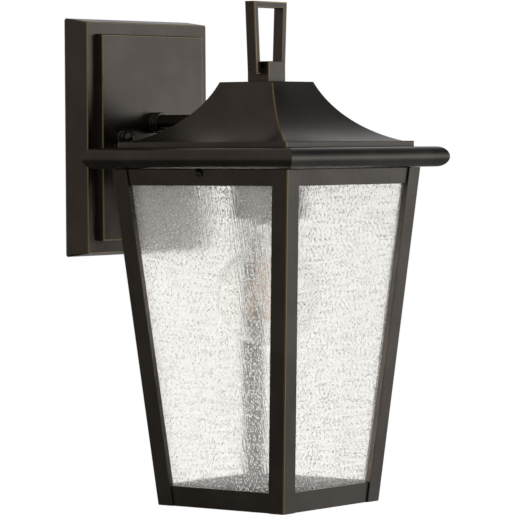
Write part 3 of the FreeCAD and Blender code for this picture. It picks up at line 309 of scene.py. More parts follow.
def ends_rounded(low, high, radius, steps=4):
    """Rows from (a, b, h) low to high whose two ends are rounded: each end row is pulled in by
    r (1 - sin t) and along by r (1 - cos t)."""
    t = np.linspace(0, math.pi / 2, steps)
    inward, along = radius * (1 - np.sin(t)), radius * (1 - np.cos(t))
    low, high = np.asarray(low, float), np.asarray(high, float)
    slope = (high - low) / (high[2] - low[2])
    first = low + slope * along[:, None] - np.outer(inward, (1, 1, 0))
    last = high - slope * along[::-1, None] - np.outer(inward[::-1], (1, 1, 0))
    return np.concatenate([first, last])


def circle(axis, around):
    """An axis made unit long, the angles t round it and the directions cos t side + sin t up."""
    axis = np.asarray(axis, float) / np.linalg.norm(axis)
    side = np.cross(axis, (0, 0, 1) if abs(axis[2]) < 0.9 else (1, 0, 0))
    side /= np.linalg.norm(side)
    up = np.cross(axis, side)
    t = np.linspace(0, 2 * math.pi, around, endpoint=False)
    return axis, t, np.cos(t)[:, None] * side + np.sin(t)[:, None] * up


def turned(profile, start, axis=(0, 0, 1), around=64, closed=False, rub=None):
    """Surface of revolution: point = start + h axis + r (cos t side + sin t up) for rows (r, h)."""
    axis, _, ring = circle(axis, around)
    r, h = np.asarray(profile, float).T
    points = np.asarray(start, float) + h[:, None, None] * axis + r[:, None, None] * ring
    return grid(points, None if rub is None else np.asarray(rub)[:, None], wrap_rows=closed)


def washer(bore, radius, height, edge, start, axis=(0, 0, 1), around=56):
    """Flat ring turned about an axis, with its edges rounded."""
    ring, _ = softened([(bore, 0), (radius, 0), (radius, height), (bore, height)], edge)
    return turned(ring, start, axis, around, closed=True)


def threaded(radius, thread, length_, start, axis=(0, 0, 1), around=28, per_turn=7, inside=None):
    """Helical thread: r = radius - depth |1 - 2 frac(h / pitch - t / 2 pi)|, faded at both ends."""
    depth, pitch = thread
    axis, t, ring = circle(axis, around)
    rows = max(3, int(length_ / pitch * per_turn))
    h = np.linspace(0, length_, rows)[:, None]
    phase = h / pitch - t / (2 * math.pi)
    wave = np.abs(1 - 2 * (phase - np.floor(phase)))
    fade = np.clip(np.minimum(h, length_ - h) / pitch, 0, 1)
    r = radius - depth * (1 - fade * (1 - wave))
    points = np.asarray(start, float) + h[..., None] * axis + r[..., None] * ring
    if inside is None:
        return grid(points)
    bore = np.asarray(start, float) + h[::-1, :, None] * axis + inside * ring
    return grid(np.concatenate([points, bore]), wrap_rows=True)


def hex_nut(flats, height, bore, start, axis=(0, 0, 1), around=72):
    """Hexagonal nut: r = (flats / 2) / cos(angle to the nearest flat), cut by a cone at both ends."""
    axis, t, ring = circle(axis, around)
    off = (t + math.pi / 6) % (math.pi / 3) - math.pi / 6
    hexagon = flats / 2 / np.cos(off)
    corner = flats / 2 / math.cos(math.pi / 6)
    h = np.array([0, 0, 0.09, 0.18, 0.82, 0.91, 1, 1]) * height
    cone = corner * np.array([0, 0.90, 0.965, 1.1, 1.1, 0.965, 0.90, 0])
    r = np.minimum(hexagon[None], np.maximum(cone, bore)[:, None])
    r[[0, -1]] = bore
    points = np.asarray(start, float) + h[:, None, None] * axis + r[..., None] * ring
    return grid(points, wrap_rows=True)


def extruded(outline, low, high, place):
    """Prism of an outline between two offsets; place(u, v, offset) gives the points."""
    u, v = np.asarray(outline, float).T
    offsets = np.array([low, high])[:, None]
    points = place(*np.broadcast_arrays(u[None], v[None], offsets))
    return grid(points)


def turned_about_axis(part, quarter):
    """The same surface turned by quarter turns about the lantern's axis."""
    points, faces, rub = part
    c, s = (1, 0, -1, 0)[quarter % 4], (0, 1, 0, -1)[quarter % 4]
    x, y = points[:, 0], points[:, 1] - AXIS_Y
    return np.stack([c * x - s * y, s * x + c * y + AXIS_Y, points[:, 2]], 1), faces, rub


# ---------------------------------------------------------------- pieces
def body_of(node):
    """The CAD body that holds a node."""
    return frame["nodes"][node]["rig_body"]


def piece(name, part, material, *nodes, weighted=True, sharp=38.0):
    """Mesh object from a surface in a named finish, riding on its node's body and standing for its nodes."""
    points, faces, rub = part
    mesh = bpy.data.meshes.new(name)
    mesh.from_pydata(points.tolist(), [], faces)
    # The rub attribute carries edge wear and, on the eave and the front-left post, painted highlight too.
    mesh.attributes.new("rub", "FLOAT", "POINT").data.foreach_set("value", rub.astype(np.float32))
    mesh.shade_smooth()
    mesh.set_sharp_from_angle(angle=math.radians(sharp))
    mesh.materials.append(finishes()[material])
    made = bpy.data.objects.new(name, mesh)
    bpy.context.scene.collection.objects.link(made)
    if weighted:
        flat = made.modifiers.new("Flat faces", "WEIGHTED_NORMAL")
        flat.keep_sharp = True
    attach(made, body_of(nodes[0]))
    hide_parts(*nodes)
    return made


def paint(material, *nodes):
    """Gives CAD nodes that keep their own shape a named finish."""
    for node in nodes:
        data = frame["nodes"][node].data
        data.materials.clear()
        data.materials.append(finishes()[material])


def middle(node):
    """Centre of a CAD node's box."""
    low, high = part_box(node)
    return (low + high) / 2


# ---------------------------------------------------------------- finishes
def node_group(name, inputs, outputs):
    """Empty shader node group with named sockets."""
    group = bpy.data.node_groups.new(name, "ShaderNodeTree")
    for label, kind, value in inputs:
        socket = group.interface.new_socket(name=label, in_out="INPUT", socket_type=kind)
        if value is not None:
            socket.default_value = value
    for label, kind in outputs:
        group.interface.new_socket(name=label, in_out="OUTPUT", socket_type=kind)
    return group, group.nodes.new("NodeGroupInput"), group.nodes.new("NodeGroupOutput")


def noise(tree, vector, scale, detail=3.0, rough=0.5):
    """Noise texture on a vector."""
    made = tree.nodes.new("ShaderNodeTexNoise")
    made.inputs["Scale"].default_value = scale
    made.inputs["Detail"].default_value = detail
    made.inputs["Roughness"].default_value = rough
    tree.links.new(vector, made.inputs["Vector"])
    return made.outputs["Fac"]


def stretched(tree, vector, scale):
    """Vector multiplied per axis."""
    made = tree.nodes.new("ShaderNodeMapping")
    made.inputs["Scale"].default_value = scale
    tree.links.new(vector, made.inputs["Vector"])
    return made.outputs["Vector"]


def maths(tree, operation, *values):
    """Math node on sockets or numbers."""
    made = tree.nodes.new("ShaderNodeMath")
    made.operation = operation
    for socket, value in zip(made.inputs, values):
        if isinstance(value, (int, float)):
            socket.default_value = value
        else:
            tree.links.new(value, socket)
    return made.outputs[0]


def times(tree, first, second):
    """Product of two sockets or numbers."""
    return maths(tree, "MULTIPLY", first, second)


def plus(tree, first, second):
    """Sum of two sockets or numbers."""
    return maths(tree, "ADD", first, second)


def ramp(tree, value, low, high, to_low=0.0, to_high=1.0):
    """Value brought from one range to another, clamped, with eased ends."""
    made = tree.nodes.new("ShaderNodeMapRange")
    made.interpolation_type = "SMOOTHSTEP"
    tree.links.new(value, made.inputs["Value"])
    for label, number in zip(("From Min", "From Max", "To Min", "To Max"), (low, high, to_low, to_high)):
        if isinstance(number, (int, float)):
            made.inputs[label].default_value = number
        else:
            tree.links.new(number, made.inputs[label])
    return made.outputs["Result"]


def mixed(tree, factor, first, second, blend="MIX"):
    """Two colours mixed."""
    made = tree.nodes.new("ShaderNodeMix")
    made.data_type = "RGBA"
    made.blend_type = blend
    for socket, value in zip((made.inputs[0], made.inputs[6], made.inputs[7]), (factor, first, second)):
        if isinstance(value, (int, float)):
            socket.default_value = value
        elif isinstance(value, (tuple, list)):
            socket.default_value = (*value[:3], 1.0)
        else:
            tree.links.new(value, socket)
    return made.outputs[2]


def rub_and_highlight_group():
    """Where the finish shows brass, broken up by patches and fine scuffs: an edge's rub, mostly real wear,
    but a painted highlight on the eave's upper shoulder and partly on the front-left post.
    """
    group, source, out = node_group("Rubbed edge", [
        ("Rub", "NodeSocketFloat", 0.0), ("Vector", "NodeSocketVector", None),
        ("Amount", "NodeSocketFloat", 0.7)], [("Mask", "NodeSocketFloat")])
    place = source.outputs["Vector"]
    patches = noise(group, place, 46.0, 3.0, 0.6)
    scuffs = noise(group, place, 900.0, 2.0, 0.6)
    level = plus(group, patches, times(group, scuffs, 0.35))
    gate = maths(group, "SUBTRACT", 1.18, source.outputs["Amount"])
    open_ = ramp(group, level, gate, plus(group, gate, 0.16), 0.12, 1.0)
    worn = ramp(group, source.outputs["Rub"], 0.25, 0.85)
    group.links.new(times(group, worn, open_), out.inputs["Mask"])
    return group


def coat_group():
    """Slight unevenness of a sprayed coat: cloudy tone, orange peel height and roughness."""
    group, source, out = node_group("Sprayed coat", [
        ("Vector", "NodeSocketVector", None)],
        [("Cloud", "NodeSocketFloat"), ("Peel", "NodeSocketFloat"), ("Roughness", "NodeSocketFloat")])
    place = source.outputs["Vector"]
    cloud = noise(group, place, 22.0, 4.0, 0.6)
    fine = noise(group, place, 1500.0, 2.0, 0.5)
    peel = noise(group, place, 620.0, 2.0, 0.5)
    group.links.new(ramp(group, cloud, 0.3, 0.7), out.inputs["Cloud"])
    group.links.new(plus(group, peel, times(group, fine, 0.4)), out.inputs["Peel"])
    group.links.new(ramp(group, plus(group, cloud, times(group, fine, 0.5)),
                         0.4, 1.1, 0.25, 0.36), out.inputs["Roughness"])
    return group


def placed(tree, group, **values):
    """Group node with its inputs set or linked."""
    made = tree.nodes.new("ShaderNodeGroup")
    made.node_tree = group
    for label, value in values.items():
        if isinstance(value, (int, float)):
            made.inputs[label].default_value = value
        else:
            tree.links.new(value, made.inputs[label])
    return made.outputs


def new_finish(name, **values):
    """Material with a Principled shader; returns its tree, shader and Object coordinates."""
    made = bpy.data.materials.new(name)
    made.use_nodes = True
    tree = made.node_tree
    shader = next(n for n in tree.nodes if n.type == "BSDF_PRINCIPLED")
    for label, value in values.items():
        shader.inputs[label.replace("_", " ")].default_value = value
    where = tree.nodes.new("ShaderNodeTexCoord").outputs["Object"]
    return made, tree, shader, where


def bump(tree, shader, height, distance, strength=1.0):
    """Bump from a height onto the shader's normal."""
    made = tree.nodes.new("ShaderNodeBump")
    made.inputs["Distance"].default_value = distance
    made.inputs["Strength"].default_value = strength
    tree.links.new(height, made.inputs["Height"])
    tree.links.new(made.outputs["Normal"], shader.inputs["Normal"])


def bronze_finish(look, groups):
    """Satin antique bronze, rubbed to brass along its edges; the same brass is also a painted highlight on
    the eave's upper shoulder and the front-left post.
    """
    made, tree, shader, where = new_finish("antique_bronze", Metallic=1.0)
    rub = tree.nodes.new("ShaderNodeAttribute")
    rub.attribute_name = "rub"
    brass_and_highlight_mask = placed(tree, groups["rubbed"], Rub=rub.outputs["Fac"], Vector=where, Amount=0.78)["Mask"]
    coat = placed(tree, groups["coat"], Vector=where)
    paint_ = mixed(tree, coat["Cloud"], tuple(look.bronze_deep), tuple(look.bronze))
    tree.links.new(mixed(tree, brass_and_highlight_mask, paint_, tuple(look.brass)), shader.inputs["Base Color"])
    tree.links.new(coat["Roughness"], shader.inputs["Roughness"])
    bump(tree, shader, coat["Peel"], 0.00003, 0.35)
    return made


def metal_finish(name, tint, deep, rough, groups, grain=(1.0, 1.0, 1.0)):
    """Plated or bare metal with a cloudy tone and a fine grain."""
    made, tree, shader, where = new_finish(name, Metallic=1.0)
    coat = placed(tree, groups["coat"], Vector=where)
    streak = noise(tree, stretched(tree, where, grain), 1400.0, 2.0, 0.6)
    tree.links.new(mixed(tree, coat["Cloud"], deep, tint), shader.inputs["Base Color"])
    tree.links.new(ramp(tree, streak, 0.3, 0.7, rough - 0.06, rough + 0.08), shader.inputs["Roughness"])
    bump(tree, shader, streak, 0.00002, 0.3)
    return made


def plain_finish(name, tint, deep, rough, scale, depth, **values):
    """Non-metal with a cloudy tone, uneven gloss and a fine surface."""
    made, tree, shader, where = new_finish(name, **values)
    cloud = noise(tree, where, scale, 3.0, 0.6)
    fine = noise(tree, where, scale * 9, 2.0, 0.6)
    tree.links.new(mixed(tree, ramp(tree, cloud, 0.3, 0.7), deep, tint), shader.inputs["Base Color"])
    tree.links.new(ramp(tree, fine, 0.3, 0.7, rough - 0.05, rough + 0.07), shader.inputs["Roughness"])
    bump(tree, shader, fine, depth, 0.5)
    return made


def seeded_group():
    """Seeded glass: its height, with round pits and streaks that fade out downwards, and its flecks.

    Each pane faces along X or Y, so X + Y runs across it and Z runs down it.
    """
    group, source, out = node_group("Seeded glass", [("Vector", "NodeSocketVector", None)],
                                    [("Height", "NodeSocketFloat"), ("Fleck", "NodeSocketFloat")])
    split = group.nodes.new("ShaderNodeSeparateXYZ")
    group.links.new(source.outputs["Vector"], split.inputs[0])
    sheet = group.nodes.new("ShaderNodeCombineXYZ")
    group.links.new(plus(group, split.outputs[0], split.outputs[1]), sheet.inputs[0])
    group.links.new(split.outputs[2], sheet.inputs[1])
    place = sheet.outputs[0]
    high = ramp(group, split.outputs[2], -0.15, -0.04, 0.25, 1.0)
    streaks = noise(group, stretched(group, place, (1.0, 0.07, 1.0)), 760.0, 2.0, 0.55)
    fine = noise(group, stretched(group, place, (1.0, 0.45, 1.0)), 620.0, 1.0, 0.5)
    cells = group.nodes.new("ShaderNodeTexVoronoi")
    cells.voronoi_dimensions = "2D"
    cells.inputs["Scale"].default_value = 1050.0
    slanted = stretched(group, place, (1.0, 0.5, 1.0))
    slanted.node.inputs["Rotation"].default_value = (0.0, 0.0, 0.6)
    group.links.new(slanted, cells.inputs["Vector"])
    pit = ramp(group, cells.outputs["Distance"], 0.08, 0.46)
    chance = group.nodes.new("ShaderNodeSeparateColor")
    group.links.new(cells.outputs["Color"], chance.inputs[0])
    deep = ramp(group, chance.outputs[0], 0.62, 1.0)
    dug = times(group, maths(group, "SUBTRACT", 1.0, pit), deep)
    strength = plus(group, 0.25, times(group, high, 0.9))
    total = times(group, maths(group, "SUBTRACT", streaks, 0.5), strength)
    total = plus(group, total, times(group, fine, 0.06))
    total = maths(group, "SUBTRACT", total, times(group, dug, 1.2))
    group.links.new(total, out.inputs["Height"])
    line = times(group, ramp(group, streaks, 0.60, 0.76), 0.4)
    spot = ramp(group, dug, 0.30, 0.75)
    group.links.new(maths(group, "MAXIMUM", line, spot), out.inputs["Fleck"])
    return group


def seeded_finish(groups):
    """Hazy clear glass with streaks, pits and dull grey flecks."""
    made, tree, shader, where = new_finish("pane_glass", Roughness=0.0, IOR=1.5)
    shader.inputs["Transmission Weight"].default_value = 0.90
    seeded = placed(tree, groups["seeded"], Vector=where)
    tree.links.new(mixed(tree, seeded["Fleck"], (0.99, 0.985, 0.975), (0.82, 0.815, 0.80)),
                   shader.inputs["Base Color"])
    tree.links.new(ramp(tree, seeded["Fleck"], 0.1, 1.0, 0.0, 0.7), shader.inputs["Roughness"])
    bump(tree, shader, seeded["Height"], 0.00012, 1.0)
    return made


def clear_finish(name, tint, index):
    """Smooth clear glass with a faint draw wave."""
    made, tree, shader, where = new_finish(name, Roughness=0.0, IOR=index)
    shader.inputs["Base Color"].default_value = (*tint, 1.0)
    shader.inputs["Transmission Weight"].default_value = 1.0
    bump(tree, shader, noise(tree, where, 60.0, 1.0, 0.4), 0.00004, 0.4)
    return made


FINISHES = {}


def finishes():
    """Every finish by name, made once."""
    if FINISHES:
        return FINISHES
    look = bpy.context.scene.lantern_look
    groups = {"rubbed": rub_and_highlight_group(), "coat": coat_group(), "seeded": seeded_group()}
    zinc = tuple(look.zinc)
    made = [
        bronze_finish(look, groups),
        metal_finish("zinc_plate", zinc, (0.46, 0.46, 0.45), 0.34, groups, (1.0, 0.2, 1.0)),
        metal_finish("shell_brass", (0.80, 0.60, 0.28), (0.66, 0.47, 0.20), 0.28, groups),
        metal_finish("lamp_brass", (0.84, 0.72, 0.46), (0.70, 0.58, 0.34), 0.26, groups),
        metal_finish("tin_solder", (0.66, 0.66, 0.66), (0.50, 0.50, 0.50), 0.42, groups),
        plain_finish("seal_rubber", (0.030, 0.030, 0.031), (0.018, 0.018, 0.019), 0.62, 300.0, 0.00003),
        plain_finish("gasket_foam", (0.075, 0.075, 0.078), (0.040, 0.040, 0.042), 0.90, 420.0, 0.0002),
        plain_finish("green_enamel", (0.03, 0.30, 0.09), (0.02, 0.22, 0.06), 0.32, 160.0, 0.00002),
        plain_finish("glazed_porcelain", (0.84, 0.81, 0.75), (0.76, 0.73, 0.66), 0.14, 70.0, 0.00003,
                     Coat_Weight=0.6),
        plain_finish("base_insulator", (0.022, 0.022, 0.028), (0.012, 0.012, 0.016), 0.18, 240.0, 0.00002),
        plain_finish("amber_coating", (1.0, 0.46, 0.06), (0.96, 0.38, 0.04), 0.55, 700.0, 0.00003),
        plain_finish("lead_cover", (0.035, 0.035, 0.036), (0.020, 0.020, 0.021), 0.46, 200.0, 0.00002),
        seeded_finish(groups),
        clear_finish("lamp_glass", (0.985, 0.985, 0.975), 1.3),
        clear_finish("seed_air", (1.0, 1.0, 1.0), 1 / 1.5),
    ]
    FINISHES.update({m.name: m for m in made})
    return FINISHES


class Builder:
    """What the operators of the pieces share: build() makes their pieces."""

    def execute(self, context):
        self.build(context.scene.lantern_sizes)
        return {"FINISHED"}


# ---------------------------------------------------------------- backplate
def rect_shell(outer, inner, edge, worn, margin, corner):
    """Hollow boxy shell from outer rows, middle out to rim, and inner rows, rim back to middle."""
    rows = np.array(outer + inner)
    radius = np.zeros(len(rows))
    radius[1] = edge
    rubbed = np.zeros(len(rows))
    rubbed[1] = worn
    rows, wear = softened(rows, radius, rubbed, margin, steps=5, closed=False)
    upright = np.zeros(len(rows))
    upright[2:8] = 0.7
    return boxy(rows, corner, wear, wear_corner=upright, margin=margin, steps=5, along="y")


class LANTERN_OT_backplate(Builder, bpy.types.Operator):
    """Build the stepped backplate: the pan, its raised panel and the foam gasket"""
    bl_idname = "lantern.backplate"
    bl_label = "Backplate"

    def build(self, size):
        for node, name, (draft_w, draft_h) in (("backplate_pan", "pan_shell", PAN_DRAFT),
                                               ("backplate_panel", "panel_shell", PANEL_DRAFT)):
            low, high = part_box(node)
            a0, b0, y0, y1 = high.x, high.z, high.y, low.y
            a1, b1, w = a0 - draft_w, b0 - draft_h, size.wall
            core = 8 * MM
            outer = [(core, core, y1), (a1, b1, y1), (a0, b0, y0)]
            inner = [(a0 - w, b0 - w, y0), (a1 - w, b1 - w, y1 + w), (core, core, y1 + w)]
            part = rect_shell(outer, inner, size.edge, 1.0, size.rub, 1.3 * size.edge)
            piece(name, part, "antique_bronze", node)
        low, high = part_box("wall_gasket")
        rows = [(high.x, high.z, low.y), (high.x, high.z, high.y),
                (high.x - GASKET_BAND, high.z - GASKET_BAND, high.y),
                (high.x - GASKET_BAND, high.z - GASKET_BAND, low.y)]
        rows, _ = softened(rows, 0.25 * MM)
        a, b, h = rows.T
        loops = boxy_rows(a, b, h, 1.0 * MM)
        piece("foam_gasket", grid(loops, wrap_rows=True), "gasket_foam", "wall_gasket")


def boxy_rows(a, b, h, radius, along="y", steps=4):
    """Points of stacked rounded rectangles, for a ring whose rows close on themselves."""
    way, _, _ = corner_template(steps)
    quarter = np.stack([a - radius, b - radius], 1)[:, None] + radius * way[None]
    section = mirrored(quarter)
    keep = np.linalg.norm(section[0] - np.roll(section[0], 1, 0), axis=1) > 1e-9
    section = section[:, keep]
    x, y = section[..., 0], section[..., 1]
    height = np.broadcast_to(h[:, None], x.shape)
    return np.stack([x, height, y] if along == "y" else [x, y + AXIS_Y, height], -1)


# ---------------------------------------------------------------- wall hardware
class LANTERN_OT_wall_hardware(Builder, bpy.types.Operator):
    """Build the strap behind the backplate with its threaded studs, nuts and ground screw"""
    bl_idname = "lantern.wall_hardware"
    bl_label = "Wall hardware"

    def build(self, size):
        paint("zinc_plate", "mounting_strap")
        paint("green_enamel", "ground_screw")
        low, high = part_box("mounting_studs")
        radius = (high.z - low.z) / 2
        spots = (low.x + radius, high.x - radius)
        studs = [threaded(radius, STUD_THREAD, high.y - low.y, (x, high.y, 0), (0, -1, 0))
                 for x in spots]
        piece("threaded_studs", joined(studs), "zinc_plate", "mounting_studs")
        low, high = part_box("stud_lock_nuts")
        nuts = [hex_nut(STUD_NUT_FLATS, high.y - low.y, radius, (x, high.y, 0), (0, -1, 0))
                for x in spots]
        piece("stud_nuts", joined(nuts), "zinc_plate", "stud_lock_nuts")


class LANTERN_OT_cap_nuts(Builder, bpy.types.Operator):
    """Build the two ball-ended cap nuts and their rubber seals"""
    bl_idname = "lantern.cap_nuts"
    bl_label = "Cap nuts"

    def build(self, size):
        for side in ("left", "right"):
            node = "cap_nut_" + side
            low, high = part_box(node)
            ball = (high.z - low.z) / 2
            centre_h = (high.y - low.y) - ball
            t = np.linspace(-0.9, math.pi / 2 - 0.03, 22)
            rim = [(CAP_BORE, 0.0), (CAP_NECK - 0.3 * MM, 0.0), (CAP_NECK, 0.3 * MM), (CAP_NECK, 1.6 * MM),
                   (CAP_NECK - 0.7 * MM, CAP_WAIST)]
            dome = np.stack([ball * np.cos(t), centre_h + ball * np.sin(t)], 1)
            dome = dome[dome[:, 1] > CAP_WAIST]
            bore = [(0.1 * MM, CAP_BORE_L + 0.1 * MM), (CAP_BORE, CAP_BORE_L), (CAP_BORE, 0.1 * MM)]
            outer = np.concatenate([rim, dome])
            wear = np.concatenate([np.zeros(5), 0.3 * np.ones(len(dome))])
            middle_ = (middle(node).x, high.y, 0)
            skin = turned(np.concatenate([bore, outer]), middle_, (0, -1, 0), 48,
                          rub=np.concatenate([np.zeros(3), wear]))
            piece("ball_nut_" + side, skin, "antique_bronze", node, weighted=False)
            low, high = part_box("cap_seal_" + side)
            seal = washer(SEAL_BORE, (high.z - low.z) / 2, high.y - low.y, 0.25 * MM,
                          (middle_[0], high.y, 0), (0, -1, 0), 48)
            piece("rubber_seal_" + side, seal, "seal_rubber", "cap_seal_" + side)


class LANTERN_OT_arm(Builder, bpy.types.Operator):
    """Build the arm: tube, ringed collar, lock nuts and washer"""
    bl_idname = "lantern.arm"
    bl_label = "Arm"

    def build(self, size):
        low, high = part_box("arm_tube")
        z, outer, long_ = (low.z + high.z) / 2, (high.z - low.z) / 2, high.y - low.y
        piece("arm_pipe", washer(ARM_BORE, outer, long_, 0.3 * MM, (0, high.y, z), (0, -1, 0)),
              "antique_bronze", "arm_tube")
        low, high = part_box("arm_collar")
        r, long_ = (high.z - low.z) / 2, high.y - low.y
        bore, groove = outer + FIT, COLLAR_GROOVE_R
        marks = [(bore, 0), (r, 0)]
        for share in COLLAR_GROOVES:
            start, stop = share * long_, share * long_ + COLLAR_GROOVE_W
            marks += [(r, start), (groove, start), (groove, stop), (r, stop)]
        marks += [(r, long_), (bore, long_)]
        worn = [0, 0.3] + [0.3, 0, 0, 0.3] * 2 + [0.45, 0]
        ring, wear = softened(marks, 0.35 * MM, worn, 0.1 * MM)
        piece("arm_ferrule", turned(ring, (0, high.y, z), (0, -1, 0), 64, closed=True, rub=wear),
              "antique_bronze", "arm_collar")
        low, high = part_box("arm_lock_nuts")
        nuts = [hex_nut(ARM_NUT_FLATS, ARM_NUT_T, outer, (0, high.y - ARM_NUT_T, z), (0, 1, 0)),
                hex_nut(ARM_NUT_FLATS, ARM_NUT_T, outer, (0, low.y + ARM_NUT_T, z), (0, -1, 0))]
        piece("arm_nuts", joined(nuts), "zinc_plate", "arm_lock_nuts")
        low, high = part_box("arm_lock_washer")
        flat = washer(bore, (high.z - low.z) / 2, high.y - low.y, 0.2 * MM, (0, low.y, z), (0, 1, 0))
        piece("arm_washer", flat, "zinc_plate", "arm_lock_washer")


# ---------------------------------------------------------------- roof and eave
def sweep_rows(top, foot, radius, inset, count):
    """Rows on the concave slope: an arc through the top and foot points, pushed in by inset."""
    chord = foot - top
    long_ = np.hypot(*chord)
    rise = math.sqrt(radius ** 2 - long_ ** 2 / 4)
    centre = (top + foot) / 2 + np.array([-chord[1], chord[0]]) / long_ * rise
    r = radius + inset
    z = np.array([top[1], foot[1]]) - inset
    turn = np.pi + np.arcsin((centre[1] - z) / r)
    t = np.linspace(turn[0], turn[1], count)
    return centre + r * np.stack([np.cos(t), np.sin(t)], 1)


class LANTERN_OT_roof(Builder, bpy.types.Operator):
    """Build the swept square roof with its fascia and arm boss"""
    bl_idname = "lantern.roof"
    bl_label = "Roof"

    def build(self, size):
        low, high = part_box("roof_crown")
        half, z_top, z_low = high.x, high.z, low.z
        ledge = z_low + ROOF_LEDGE
        top, foot = np.array([size.roof_top, z_top]), np.array([size.roof_foot, ledge + FIT])
        outer = sweep_rows(top, foot, size.roof_sweep, 0.0, SLOPE_ROWS)
        inner = sweep_rows(top, foot, size.roof_sweep, size.wall, 24)[::-1]
        w = size.wall
        rows = np.concatenate([[(3 * MM, z_top)], outer,
                               [(half, ledge), (half, z_low), (half - w, z_low), (half - w, ledge - w)],
                               inner, [(3 * MM, z_top - w)]])
        radius = np.zeros(len(rows))
        worn = np.zeros(len(rows))
        radius[1], worn[1] = 0.6 * MM, 0.35
        radius[SLOPE_ROWS:SLOPE_ROWS + 3] = 1.2 * MM, 0.45 * MM, 0.3 * MM
        worn[SLOPE_ROWS + 1:SLOPE_ROWS + 3] = 0.3, 0.2
        rows, wear = softened(rows, radius, worn, 0.2 * MM, steps=4, closed=False)
        hip = (np.arange(len(rows)) > 6) * (rows[:, 1] > z_low + 0.1 * MM)
        part = boxy(np.stack([rows[:, 0], rows[:, 0], rows[:, 1]], 1), size.edge, wear,
                    wear_corner=1.0 * hip, margin=size.rub, steps=5, centre=(0, AXIS_Y))
        tube_z = middle("arm_tube").z
        reach = BOSS_HALF[1]
        boss = ends_rounded((*BOSS_HALF, tube_z - reach), (*BOSS_HALF, tube_z + reach), 0.4 * MM)
        boss = boxy(boss, 0.6 * MM, wear_corner=0, margin=0, centre=(0, AXIS_Y + BOSS_AT))
        piece("swept_roof", joined([part, boss]), "antique_bronze", "roof_crown")


class LANTERN_OT_eave(Builder, bpy.types.Operator):
    """Build the hollow half-round eave moulding with its two lugs, and the roof screws"""
    bl_idname = "lantern.eave"
    bl_label = "Eave moulding"

    def build(self, size):
        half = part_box("eave_frame")[1].x
        z_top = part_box("roof_crown")[0].z
        z_low = z_top - EAVE_H
        w, r = size.wall, EAVE_H / 2
        flat, mid = half - r, (z_top + z_low) / 2
        t = np.linspace(math.pi / 2, -math.pi / 2, 26)
        nose = np.stack([flat + r * np.cos(t), mid + r * np.sin(t)], 1)
        t = t[::-1][::2]
        hollow = np.stack([flat + (r - w) * np.cos(t), mid + (r - w) * np.sin(t)], 1)
        rows = np.concatenate([[(EAVE_OPEN_TOP, z_top)], nose,
                               [(EAVE_OPEN_LOW, z_low), (EAVE_OPEN_LOW, z_low + w)],
                               hollow, [(EAVE_OPEN_TOP, z_top - w)]])
        wear = np.zeros(len(rows))
        # Rows 2 and 3 lie on the upper shoulder of the half round. Their brass band is a painted highlight
        # that stands in for the bright line of light along the eave's top.
        wear[2:4] = 0.42
        loops = boxy_rows(rows[:, 0], rows[:, 0], rows[:, 1], 0.5 * MM, "z", 4)
        cols = loops.shape[1]
        rub = np.maximum(wear[:, None], np.tile([0.0, 0.5, 0.5, 0.0], cols // 4)[None])
        part = grid(loops, rub, wrap_rows=True)
        rib = np.array([RIB_AT, RIB_AT, RIB_AT - w, RIB_AT - w])
        rib_z = z_top + np.array([-w / 2, RIB_RISE, RIB_RISE, -w / 2])
        ribs = grid(boxy_rows(rib, rib, rib_z, 0.4 * MM, "z", 3), wrap_rows=True)
        lugs = [cage_lug(side, z_low, w) for side in (-1, 1)]
        piece("eave_moulding", joined([part, ribs] + lugs), "antique_bronze", "eave_frame")
        paint("zinc_plate", "roof_screws")


def cage_lug(side, z_low, wall):
    """Tab that hangs from the eave, with a fork slot open below for the cage screw's tip.

    Its outline is a U: the tab's two legs joined over a half round r (cos t, sin t).
    """
    screw = middle("cage_screw_washer_left").z
    slot, half_w, foot, head = LUG_SLOT_R, LUG_HALF, z_low - LUG_DROP, z_low + wall
    t = np.linspace(0, math.pi, 12)
    arch = np.stack([slot * np.cos(t), screw + slot * np.sin(t)], 1)
    outline = np.concatenate([[(half_w, foot), (half_w, head), (-half_w, head), (-half_w, foot),
                               (-slot, foot)], arch[::-1], [(slot, foot)]])

    def place(u, v, offset):
        return np.stack([side * offset, AXIS_Y + u, v], -1)
    return extruded(outline, LUG_AT - LUG_THICK, LUG_AT, place)


